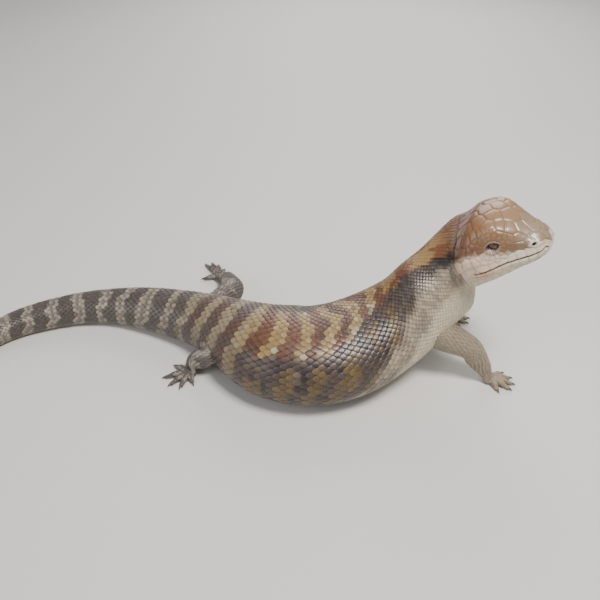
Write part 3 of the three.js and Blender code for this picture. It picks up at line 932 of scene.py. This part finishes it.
def dress_head(points, normals, s, share):
    """Raises shields, lids, lips, nostrils and ears out of the plain head, and colours them."""
    p, n = points.reshape(-1, 3), normals.reshape(-1, 3)
    s_all, share_all = grid_places(s, share)
    along, _, up = HEAD_AXES @ (p - EAR_POINT).T
    reach = mouth_reach(along)
    arc = np.abs(share_all) * body.half_at(s_all)
    v = arc / reach
    covered = smoothstep(nape_limit(share_all) - s_all, -0.8, 1.2)

    height, shade, crease = shield_relief(along, v, arc * np.where(share_all < 0, -1, 1), reach)
    # The shields are darkened near the crease between two: painted shade in the creases
    shade = mix(shade, shade * 0.7, crease * 0.6 * (1 - covered))
    # Where neck scales cover the head's skin, it takes the body's markings at half brightness: painted
    # shade under the scales
    shade = mix(shade, body_colour(s_all, share_all) * 0.5, covered)
    lip_height, shade = mouth_relief(along, (v - 1) * reach - mouth_bend(along), shade)
    height += large_forms(along, v) + lip_height
    p = p + n * (height * (1 - covered) - 0.3 * covered)[:, None]
    overhang = 0.5 * SNOUT_OVERHANG * smoothstep(along, 48, 57) * smoothstep(up, -0.3, 0.3)
    p += overhang[:, None] * head_forward

    for side in (-1, 1):
        p, shade = shape_eye(p, shade, side)
        for place, pit in ((NOSTRIL, NOSTRIL_PIT), (EAR, EAR_PIT)):
            p, shade = sink(p, shade, n, on_side(place, side), pit)
    return p.reshape(points.shape), shade.reshape(points.shape)


# Skin

SKIN_STEP = 1.7
HEAD_SKIN_STEP = 0.42
COARSE = 100
FINE = 400
SWELL = (HEAD_FROM + 4, HEAD_FROM + 20)
TAIL_CAP = 1.6
SNOUT_CAP = 1.1
LEG_CAPS = (6, 1.6)
TOE_CAPS = (1.2, 0.9)

# The skin under the scales is darkened below their colours: painted shade under and between the scales
SHADE_UNDER_BODY_SCALES = 0.45
SHADE_UNDER_LIMB_SCALES = 0.6

# Where the toes lie in the noise of the legs' colours
TOE_NOISE = 60


def skin_swell(s):
    """How far the skin rises back to the full form of the head, where no scales cover it."""
    return SKIN_INSET * smoothstep(s, *SWELL)


def skin_grid(s, columns):
    """Points and normals of rings of the body, and the shares around of their points."""
    share = np.linspace(-1, 1, columns + 1)[:-1]
    points, normals = body.at(*grid_places(s, share))
    shape = (len(s), columns, 3)
    return points.reshape(shape), normals.reshape(shape), share


def covered_skin():
    """Rings and colours of the skin under the scales, from the tail's tip to the head."""
    s = np.linspace(0, HEAD_FROM, int(HEAD_FROM / SKIN_STEP))
    points, _, share = skin_grid(s, COARSE)
    # The markings darkened, as painted shade under the scales
    colours = body_colour(*grid_places(s, share)).reshape(points.shape) * SHADE_UNDER_BODY_SCALES
    tip = np.repeat(colours[:1], len(CAP_STEPS), axis=0)
    return capped(points, (TAIL_CAP, 0)), np.concatenate([tip, colours])


def head_skin():
    """Rings and colours of the skin of the head, from its rear edge to the snout."""
    s = np.linspace(HEAD_FROM, body.length, int((body.length - HEAD_FROM) / HEAD_SKIN_STEP))
    points, normals, share = skin_grid(s, FINE)
    grown = points + normals * skin_swell(s)[:, None, None]
    points, colours = dress_head(grown, normals, s, share)
    tip = np.repeat(colours[-1:], len(CAP_STEPS), axis=0)
    return capped(points[1:], (0, SNOUT_CAP)), np.concatenate([colours[1:], tip])


def stitch_faces(rows):
    """Faces from the last coarse ring to the first fine one, which has four times its points."""
    ring = np.arange(COARSE)
    rear = (rows - 1) * COARSE + ring
    rear_next = (rows - 1) * COARSE + (ring + 1) % COARSE
    a, b, c, d, e = (rows * COARSE + (ring * FINE // COARSE + k) % FINE for k in range(5))
    fan = [(rear, b, a), (rear, c, b), (rear, rear_next, c), (rear_next, d, c), (rear_next, e, d)]
    return np.concatenate([np.stack(corners[::-1], axis=1) for corners in fan])


def body_skin():
    coarse, coarse_tints = covered_skin()
    fine, fine_tints = head_skin()
    points = np.concatenate([coarse.reshape(-1, 3), fine.reshape(-1, 3)])
    tints = np.concatenate([coarse_tints.reshape(-1, 3), fine_tints.reshape(-1, 3)])
    quads = [grid_faces(len(coarse), COARSE), grid_faces(len(fine), FINE, len(coarse) * COARSE)]
    tail_end = np.arange(COARSE)[None]
    snout_end = (len(points) - FINE + np.arange(FINE))[None, ::-1]
    faces = [np.concatenate(quads), stitch_faces(len(coarse)), tail_end, snout_end]
    return mesh_object("skin", points, faces, tints)


def limb_skin(leg_name, loft, caps, noise_from=0):
    """The skin of a leg or a toe under its scales."""
    s = np.r_[np.zeros(len(CAP_STEPS)), loft.s, np.full(len(CAP_STEPS), loft.length)]
    points, faces = tube_mesh(capped(loft.points[:, :-1], caps))
    tints = leg_colour(leg_name, *grid_places(noise_from + s, loft.share[:-1]))
    # The leg's colours darkened, as painted shade under the scales
    return mesh_object(f"{leg_name}_skin", points, faces, tints * SHADE_UNDER_LIMB_SCALES)


skin = body_skin()
limb_skins = []
for leg_name, loft in legs.items():
    limb_skins.append(limb_skin(leg_name, loft, LEG_CAPS))
    limb_skins += [limb_skin(leg_name, toe, TOE_CAPS, TOE_NOISE) for toe in toes[leg_name]]
select_only([skin, *limb_skins])
bpy.ops.object.join()

# Scales

# A scale's root and underside as shares of its breadth, and where along it lie its widest place,
# its round end's radius and the middle by which it is laid
SCALE_ROOT = 0.80
UNDERSIDE = 0.96
SCALE_WIDEST = 0.52
SCALE_TAPER = 0.49
SCALE_CENTRE = 0.45

# The width of a scale that has the full lift and thickness
USUAL_WIDTH = 6.5
FLOOR_GAP = 0.02

# Size of one scale's patch in the UV map
UV_LENGTH = 0.003
UV_BREADTH = 0.0015


def plate_template(cuts, columns):
    """A scale's outline and form: along 0 at the root and 1 at the free edge, across -1 to 1."""
    p = np.array(cuts)
    rear = SCALE_ROOT + (1 - SCALE_ROOT) * np.sin(p / SCALE_WIDEST * math.pi / 2)
    round_end = np.sqrt(np.clip(1 - ((p - SCALE_WIDEST) / SCALE_TAPER) ** 2, 0, 1))
    wide = np.where(p < SCALE_WIDEST, rear, round_end)
    along, across = (g.ravel() for g in np.meshgrid(p, np.linspace(-1, 1, columns), indexing="ij"))
    count = len(along)
    index = np.arange(count).reshape(len(p), columns)
    rim = np.r_[index[0], index[1:, -1], index[-1, -2::-1], index[-2:0:-1, 0]]
    under = count + np.arange(len(rim))
    sides = np.stack([under, np.roll(under, -1), np.roll(rim, -1), rim], axis=1)
    breadth = np.repeat(wide, columns) * across
    return dict(
        along=np.r_[along, along[rim]],
        across=np.r_[across, across[rim]],
        breadth=np.r_[breadth, breadth[rim] * UNDERSIDE],
        is_under=np.arange(count + len(rim)) >= count,
        quads=np.concatenate([grid_faces(len(p), columns, closed=False), sides]),
        base=under[None, ::-1],
    )


LARGE = plate_template((0, 0.3, 0.52, 0.68, 0.82, 0.93, 1.0), 7)
MEDIUM = plate_template((0, 0.35, 0.6, 0.8, 0.93, 1.0), 5)
SMALL = plate_template((0, 0.45, 0.72, 0.92, 1.0), 5)


def scale_rise(kind, jitter):
    """Height of a scale's points above the skin: it lifts towards its free edge and is domed."""
    along, across = kind["along"], kind["across"]
    rise = 0.25 + SCALE_LIFT * along**1.3 * (1 + 0.25 * jitter)
    rise = rise + SCALE_DOME * (1 - across**2) * smoothstep(along, -0.2, 0.5)
    rise = rise - 0.10 * smoothstep(along, 0.85, 1.0)
    return np.where(kind["is_under"], rise - SCALE_THICKNESS - SCALE_DOME * 0.5, rise)


def scale_tint(kind, shade, jitter):
    """A scale's colour, with painted shade darkening its root and sides and a painted highlight
    lightening its free edge.
    """
    along = kind["along"][:, None]
    # Painted shade: darker towards the root, under the free edge of the scale before
    inner = 0.58 + 0.42 * smoothstep(along, 0.15, 0.75)
    # Painted shade: darker towards the sides
    side_shade = 0.72 + 0.28 * (1 - np.abs(kind["across"][:, None]) ** 3)
    tint = shade[:, None] * (1 + 0.10 * jitter[..., None]) * inner * side_shade
    # Painted highlight: lighter at the free edge
    return np.clip(tint + 0.03 * smoothstep(along, 0.86, 1.0), 0, 1)


class Coat:
    """Gathers scales of one kind and makes one mesh of them."""

    def __init__(self, slot, kind, lift=1.0):
        self.slot, self.kind, self.lift = slot, kind, lift
        self.laid, self.count = [], 0

    def lay(self, loft, s, share, width, length, shade, patch, follow=None):
        """Lays scales on a loft. s, share, width and length have one value for each scale.

        patch is the corner and the size of their part of the UV map. With follow, a function of
        s, a scale keeps in step with how the rows spread.
        """
        n, kind = len(s), self.kind
        jitter = rng.uniform(-1, 1, (n, 4))
        back = (kind["along"] - SCALE_CENTRE) * length[:, None]
        at_s = s[:, None] - back
        aside = kind["breadth"] * width[:, None] * 0.5 * (1 + 0.05 * jitter[:, :1])
        aside = aside + 0.05 * jitter[:, 1:2] * back
        arc = (share * loft.half_at(s))[:, None]
        if follow is not None:
            arc = arc * follow(at_s) / follow(s)[:, None]
        at_share = (arc + aside) / loft.half_at(at_s)
        place, normal = loft.at(at_s.ravel(), at_share.ravel())
        rise = scale_rise(kind, jitter[:, 2:3]) * (width / USUAL_WIDTH)[:, None] ** 0.6 * self.lift
        if loft is body:
            rise = rise + skin_swell(at_s)
        point = place + normal * rise.ravel()[:, None]
        point[:, 2] = np.maximum(point[:, 2], FLOOR_GAP)
        start = self.count + np.arange(n)[:, None, None] * len(kind["along"])
        corner, size = np.array(patch)
        middle = corner + size * np.stack([s / loft.length, (share + 1) / 2], axis=-1)
        around = np.stack([UV_LENGTH * (kind["along"] - 0.5), UV_BREADTH * kind["across"]], axis=-1)
        self.laid.append((
            point,
            (start + kind["quads"]).reshape(-1, 4),
            (start + kind["base"]).reshape(n, -1),
            scale_tint(kind, shade, jitter[:, 3:4]).reshape(-1, 3),
            (middle[:, None] + around).reshape(-1, 2),
        ))
        self.count += len(point)

    def make(self, name):
        points, quads, bases, colours, uvs = map(np.concatenate, zip(*self.laid))
        return mesh_object(name, points, [quads, bases], colours, uvs)


coats = {
    "scales_neck": Coat("back_scales", MEDIUM),
    "scales_shoulders": Coat("back_scales", MEDIUM),
    "scales_trunk_front": Coat("back_scales", LARGE),
    "scales_trunk_rear": Coat("back_scales", LARGE),
    "scales_tail": Coat("tail_scales", MEDIUM),
    "scales_legs": Coat("leg_scales", SMALL, lift=0.8),
    "scales_feet": Coat("feet", SMALL, lift=0.7),
}

# Where the coats of the body end, from the tail forward, and the one that goes on to the head
COAT_ENDS = {
    "scales_tail": S_HIP, "scales_trunk_rear": 296, "scales_trunk_front": 352, "scales_shoulders": 404,
}
LAST_COAT = "scales_neck"

# Width of the body's scales along the spine, and how far apart their rings are in widths
ROW_S = [0, 40, 120, 200, 260, 330, 380, 420, 440, 470]
ROW_WIDTH = [1.9, 2.6, 3.7, 4.4, 4.7, 4.7, 4.1, 3.3, 2.9, 2.8]
RING_S = [350, 400]
RING_STEP = [0.64, 0.52]

# First and last ring, and how far behind its middle, in widths, a scale takes its colour
BODY_RINGS = (S_EAR + 11, 2.5)
COLOUR_FROM = 0.2

# The body has no scales deeper in a leg or nearer to an ear than this
LEG_MARGIN = 2.0
EAR_GAP = 3.2

# How far beyond a limb's end its first ring lies, and where the last one may lie
LEG_RINGS = (1.0, 2)
TOE_RINGS = (0.4, 0.5)

# Widths of the legs' scales, and of those beyond the ankle
LEG_ROW = 2.7
FOOT_ROW = LEG_ROW * 0.72
ANKLE = 12
LEG_STEP = 0.66
LEG_FEWEST = 5
BODY_MARGIN = 1.5
TOE_COUNT = 7
TOE_STEP = 1.25
TOE_SCALE_LENGTH = 1.9

# Breadth and length of a scale beside its share of the ring or row: more than 1 overlaps
OVERLAP = (1.12, 1.30)
TOE_OVERLAP = 1.15

# Corner and size of the coats' parts of the UV map, and how far apart the legs and toes are
BODY_PATCH = ((0.01, 0.42), (0.98, 0.56))
LEG_PATCH = (0.20, 0.16)
TOE_PATCH = (0.035, 0.16)
PATCH_FROM = 0.02
LEG_PATCHES_APART = 0.23
TOE_PATCHES_APART = 0.04
LEG_PATCH_RISE = 0.22


def row_width(s):
    return np.interp(s, ROW_S, ROW_WIDTH)


def in_body(points, margin):
    """True for points deeper inside the body than the margin."""
    step = 6
    centre = body.rows[::step, :3]
    inside = np.zeros(len(points), bool)
    for cut in chunks(len(points)):
        k = np.argmin(norm(points[cut, None] - centre), axis=1) * step
        rel = points[cut] - body.rows[k, :3]
        out = np.abs(np.sum(rel * body.left[k], axis=1)) / (body.rows[k, 3] - margin)
        up = np.sum(rel * body.top[k], axis=1)
        up = np.abs(up) / (np.where(up > 0, body.rows[k, 4], body.rows[k, 5]) - margin)
        inside[cut] = out**2.2 + up**2.2 < 1
    return inside


def in_leg(points, margin):
    """True for points deeper inside a leg than the margin."""
    inside = np.zeros(len(points), bool)
    for loft in legs.values():
        centre, radius = loft.rows[::2, :3], loft.rows[::2, 3]
        inside |= (norm(points[:, None] - centre) < radius - margin).any(axis=1)
    return inside


def near_ear(points, reach):
    return np.minimum(norm(points - on_side(EAR, -1)), norm(points - on_side(EAR, 1))) <= reach


def ring_places(s, end, ring_at):
    """Places of scales in rings from s back to end. Every other ring is odd.

    ring_at gives the shares around of a ring's scales and the way to the next ring.
    """
    places, odd = [], 0
    while s > end:
        share, step = ring_at(s, odd)
        places.append(np.stack([np.full(len(share), s), share]))
        s -= step
        odd = 1 - odd
    return np.concatenate(places, axis=1)


def body_ring(s, odd):
    width = float(row_width(s))
    half = float(body.half_at(s))
    count = int(half / width) + 1
    share = (np.arange(-count, count + 1) + 0.5 * odd) * width / half
    share = share[np.abs(share) < 1 - 0.3 * width / half]
    return share[s < nape_limit(share)], width * float(np.interp(s, RING_S, RING_STEP))


def even_ring(count, odd):
    return (np.arange(count) + 0.5 * odd) / count * 2 - 1


def leg_size(loft, s):
    """Width of a leg's scales, which are smaller on the foot."""
    return np.where(s > loft.length - ANKLE, FOOT_ROW, LEG_ROW)


def lay_body():
    s, share = ring_places(*BODY_RINGS, body_ring)
    width = row_width(s)
    place = body.at(s - COLOUR_FROM * width, share)[0]
    keep = ~in_leg(place, LEG_MARGIN) & ~near_ear(place, EAR_GAP)
    s, share, width = s[keep], share[keep], width[keep]
    shade = body_colour(s - COLOUR_FROM * width, share)
    coat_of = np.select([s < end for end in COAT_ENDS.values()], list(COAT_ENDS), LAST_COAT)
    breadth, length = OVERLAP
    for name, coat in coats.items():
        own = coat_of == name
        if own.any():
            coat.lay(
                body, s[own], share[own], width[own] * breadth, width[own] * length, shade[own],
                BODY_PATCH, follow=row_width,
            )


def lay_leg(leg_name, loft, patch):
    def leg_ring(s, odd):
        size = float(leg_size(loft, s))
        count = max(int(round(2 * float(loft.half_at(s)) / size)), LEG_FEWEST)
        return even_ring(count, odd), size * LEG_STEP

    beyond, end = LEG_RINGS
    s, share = ring_places(loft.length + beyond, end, leg_ring)
    keep = ~in_body(loft.at(s, share)[0], BODY_MARGIN)
    s, share = s[keep], share[keep]
    size = leg_size(loft, s)
    breadth, length = OVERLAP
    shade = leg_colour(leg_name, s, share)
    coats["scales_legs"].lay(loft, s, share, size * breadth, size * length, shade, patch)


def lay_toe(leg_name, toe, patch):
    beyond, end = TOE_RINGS
    s, share = ring_places(
        toe.length + beyond, end, lambda s, odd: (even_ring(TOE_COUNT, odd), TOE_STEP)
    )
    width = 2 * toe.half_at(s) / TOE_COUNT * TOE_OVERLAP
    shade = leg_colour(leg_name, TOE_NOISE + s, share) * 1.05
    coats["scales_feet"].lay(toe, s, share, width, np.full(len(s), TOE_SCALE_LENGTH), shade, patch)


lay_body()
for order, (leg_name, loft) in enumerate(legs.items()):
    u = PATCH_FROM + LEG_PATCHES_APART * order
    lay_leg(leg_name, loft, ((u, LEG_PATCH_RISE), LEG_PATCH))
    for number, toe in enumerate(toes[leg_name]):
        lay_toe(leg_name, toe, ((u + TOE_PATCHES_APART * number, PATCH_FROM), TOE_PATCH))

coat_objects = {name: coat.make(name) for name, coat in coats.items()}

# Claws

CLAW_RINGS = 9
CLAW_SIDES = 12
CLAW_SUNK = 0.6
CLAW_SHORT = 0.2
CLAW_ROOT_COLOUR = colour("6e5f52")
CLAW_TIP_COLOUR = colour("241c18")


def claw_rings(leg, degrees, reach):
    """Rings of a claw, which leaves the toe's tip and curves down to a point."""
    angle = np.linspace(0, 2 * math.pi, CLAW_SIDES + 1)[:-1, None]
    aim = direction(math.radians(degrees))
    side = direction(math.radians(degrees + 90))
    up = np.array([0, 0, 1])
    rings = []
    for t in np.linspace(0, 1, CLAW_RINGS):
        r = reach - CLAW_LENGTH - CLAW_SUNK + (CLAW_LENGTH + CLAW_SUNK - CLAW_SHORT) * t
        z = TOE_TIP + 0.65 * math.sin(t * math.pi * 0.8) - 1.05 * t**2
        radius = 0.98 * (1 - t) ** 0.7 + 0.10
        centre = np.array([*leg["palm"], 0]) + aim * r + up * max(z, radius)
        rings.append(centre + 0.8 * radius * np.cos(angle) * side + 1.15 * radius * np.sin(angle) * up)
    return np.array(rings)


def all_claws():
    tint = mix(CLAW_ROOT_COLOUR, CLAW_TIP_COLOUR, np.repeat(np.linspace(0, 1, CLAW_RINGS), CLAW_SIDES))
    made = []
    for leg in LEGS.values():
        for toe in leg["toes"]:
            points, (faces, ends) = tube_mesh(claw_rings(leg, *toe))
            points[:, 2] = np.maximum(points[:, 2], FLOOR_GAP)
            start = len(made) * len(points)
            made.append((points, faces + start, ends + start, tint))
    points, faces, ends, tints = map(np.concatenate, zip(*made))
    return mesh_object("claws", points, [faces, ends], tints)


claws = all_claws()

# Eyes

EYE_BALL_RINGS = 90
EYE_BALL_SIDES = 72
EYE_BALL_INSET = 0.12
CORNEA = 0.22
CORNEA_SPREAD = 0.55

IRIS = colour("47231a")
IRIS_LIGHT = colour("6e3d26")
IRIS_EDGE = colour("1c0e0a")
PUPIL = colour("060404")
SCLERA = colour("3a2a22")

# Angles from the eye's axis, in radians, between which one colour goes over into the next
GLOW_ANGLES = (0.62, 0.30)
PUPIL_ANGLES = (0.19, 0.22)
EDGE_ANGLES = (0.52, 0.72)
SCLERA_ANGLES = (0.85, 0.95)


def make_eye(name, side):
    outward, ahead, over = eye_axes(side)
    angle = np.linspace(0, 2 * math.pi, EYE_BALL_SIDES + 1)[:-1]
    around = np.cos(angle)[:, None] * ahead + np.sin(angle)[:, None] * over
    rings, tints = [], []
    for polar in math.pi * np.linspace(0.004, 0.996, EYE_BALL_RINGS):
        radius = EYE_RADIUS - EYE_BALL_INSET + CORNEA * bell(polar, 0, CORNEA_SPREAD)
        rings.append(radius * (math.cos(polar) * outward + math.sin(polar) * around))
        spokes = noise(angle * 6, polar * 3, 10)
        iris = blend(IRIS, IRIS_LIGHT, polar, *GLOW_ANGLES, 0.4 + 0.4 * spokes)
        shade = blend(blend(PUPIL, iris, polar, *PUPIL_ANGLES), IRIS_EDGE, polar, *EDGE_ANGLES)
        tints.append(blend(shade, SCLERA, polar, *SCLERA_ANGLES))
    points, faces = tube_mesh(np.array(rings) + on_side(EYE, side))
    return mesh_object(name, points, faces, np.concatenate(tints))


eyes = {name: make_eye(name, side) for name, side in (("eye_right_ball", -1), ("eye_left_ball", 1))}


# Outward faces

def face_outward(made):
    select_only([made])
    bpy.ops.object.mode_set(mode="EDIT")
    bpy.ops.mesh.select_all(action="SELECT")
    bpy.ops.mesh.normals_make_consistent(inside=False)
    bpy.ops.object.mode_set(mode="OBJECT")


for made in [skin, claws, *eyes.values()]:
    face_outward(made)


# Materials

COAT_ROUGHNESS = 0.12
SPECULAR = 0.5
SOFT_DEPTH = 0.002
GRAIN_DETAIL = 4
GLOSS_SPREAD = 0.08
RELIEF_DEPTH = 0.0002


def horn_material(name, roughness, bump, scale, coat=0.0, spread=0.12, soft=0.0):
    """The markings stored in the mesh, with fine grain in colour, gloss and relief."""
    material = bpy.data.materials.new(name)
    material.use_nodes = True
    nodes, links = material.node_tree.nodes, material.node_tree.links

    def add(kind, **values):
        node = nodes.new(kind)
        for label, value in values.items():
            node.inputs[label.replace("_", " ")].default_value = value
        return node

    shader = nodes["Principled BSDF"]
    shader.inputs["Coat Weight"].default_value = coat
    shader.inputs["Coat Roughness"].default_value = COAT_ROUGHNESS
    shader.inputs["Specular IOR Level"].default_value = SPECULAR
    shader.inputs["Subsurface Weight"].default_value = soft
    shader.inputs["Subsurface Scale"].default_value = SOFT_DEPTH
    marks = add("ShaderNodeAttribute")
    marks.attribute_name = "Markings"
    place = add("ShaderNodeTexCoord")
    grain = add("ShaderNodeTexNoise", Scale=scale, Detail=GRAIN_DETAIL)
    tone = add("ShaderNodeMapRange", To_Min=1 - spread, To_Max=1 + spread)
    gloss = add("ShaderNodeMapRange", To_Min=roughness - GLOSS_SPREAD, To_Max=roughness + GLOSS_SPREAD)
    relief = add("ShaderNodeBump", Strength=bump, Distance=RELIEF_DEPTH)
    tinted = add("ShaderNodeVectorMath")
    tinted.operation = "SCALE"
    links.new(place.outputs["Object"], grain.inputs["Vector"])
    for node, entry in ((tone, "Value"), (gloss, "Value"), (relief, "Height")):
        links.new(grain.outputs["Fac"], node.inputs[entry])
    links.new(marks.outputs["Color"], tinted.inputs[0])
    links.new(tone.outputs["Result"], tinted.inputs["Scale"])
    links.new(tinted.outputs["Vector"], shader.inputs["Base Color"])
    links.new(gloss.outputs["Result"], shader.inputs["Roughness"])
    links.new(relief.outputs["Normal"], shader.inputs["Normal"])
    return material


skin_material = horn_material("skin_shields", 0.36, 0.25, 900, coat=0.25, spread=0.08, soft=0.03)
scale_material = horn_material("body_scales", 0.40, 0.35, 700, coat=0.10)
leg_material = horn_material("leg_scales", 0.48, 0.35, 900)
claw_material = horn_material("claw_horn", 0.32, 0.2, 600, coat=0.2)
eye_material = horn_material("wet_eye", 0.10, 0.0, 900, coat=1.0, spread=0.04)

skin.data.materials.append(skin_material)
claws.data.materials.append(claw_material)
for made in eyes.values():
    made.data.materials.append(eye_material)
for name, made in coat_objects.items():
    on_limbs = name in ("scales_legs", "scales_feet")
    made.data.materials.append(leg_material if on_limbs else scale_material)

# Floor, light and camera, in metres except for the camera's distance

FLOOR_REACH = 3.0
FLOOR_COLOUR = (0.62, 0.60, 0.57, 1)
FLOOR_ROUGHNESS = 0.7
WORLD_COLOUR = (0.90, 0.93, 1.0, 1)
WORLD_STRENGTH = 0.30

# Name, place, target, size, power and colour
LAMPS = [
    ("key", (0.35, -0.25, 0.95), (0.05, 0, 0.04), 0.28, 13, (1.0, 0.97, 0.92)),
    ("fill", (-0.9, -0.7, 0.7), (0, 0, 0.03), 0.9, 7, (0.92, 0.96, 1.0)),
    ("rim", (0.2, 0.9, 0.6), (0, 0, 0.05), 0.7, 7, (1.0, 0.98, 0.95)),
]

CAMERA_DISTANCE = 530
CAMERA_ELEVATION = math.radians(40)
CAMERA_VIEW = math.radians(50)
SENSOR = 36


def make_floor():
    mesh = bpy.data.meshes.new("floor")
    corners = [(-1, -1), (1, -1), (1, 1), (-1, 1)]
    mesh.from_pydata([(x * FLOOR_REACH, y * FLOOR_REACH, 0) for x, y in corners], [], [(0, 1, 2, 3)])
    material = bpy.data.materials.new("pale_floor")
    material.use_nodes = True
    shader = material.node_tree.nodes["Principled BSDF"]
    shader.inputs["Base Color"].default_value = FLOOR_COLOUR
    shader.inputs["Roughness"].default_value = FLOOR_ROUGHNESS
    mesh.materials.append(material)
    return add_object("floor", mesh)


def look_along(direction):
    """The turn of a lamp or a camera that looks in a direction."""
    return Vector(direction).to_track_quat("-Z", "Y").to_euler()


def area_light(name, place, target, size, power, tint):
    data = bpy.data.lights.new(name, "AREA")
    data.size = size
    data.energy = power
    data.color = tint
    lamp = add_object(name, data)
    lamp.location = place
    lamp.rotation_euler = look_along(np.array(target) - np.array(place))


floor = make_floor()
for lamp in LAMPS:
    area_light(*lamp)

world = bpy.data.worlds.new("studio")
world.use_nodes = True
world.node_tree.nodes["Background"].inputs["Color"].default_value = WORLD_COLOUR
world.node_tree.nodes["Background"].inputs["Strength"].default_value = WORLD_STRENGTH
bpy.context.scene.world = world

camera_data = bpy.data.cameras.new("camera")
camera_data.sensor_width = SENSOR
camera_data.lens = SENSOR / 2 / math.tan(CAMERA_VIEW / 2)
camera_data.clip_start = 0.01
camera = add_object("camera", camera_data)
camera_place = CAMERA_DISTANCE * np.array([0, -math.cos(CAMERA_ELEVATION), math.sin(CAMERA_ELEVATION)])
camera.location = (camera_place + OFFSET) / 1000
camera.rotation_euler = look_along(-camera_place)
bpy.context.scene.camera = camera

# How the pieces belong to the part

flesh = [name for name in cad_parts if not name.startswith("eye_")]
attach(skin, "root")
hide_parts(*flesh)
for name, coat in coats.items():
    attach(coat_objects[name], "root")
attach(claws, "root")
for made, node in zip(eyes.values(), ("eye_right", "eye_left")):
    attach(made, "root")
    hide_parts(node)
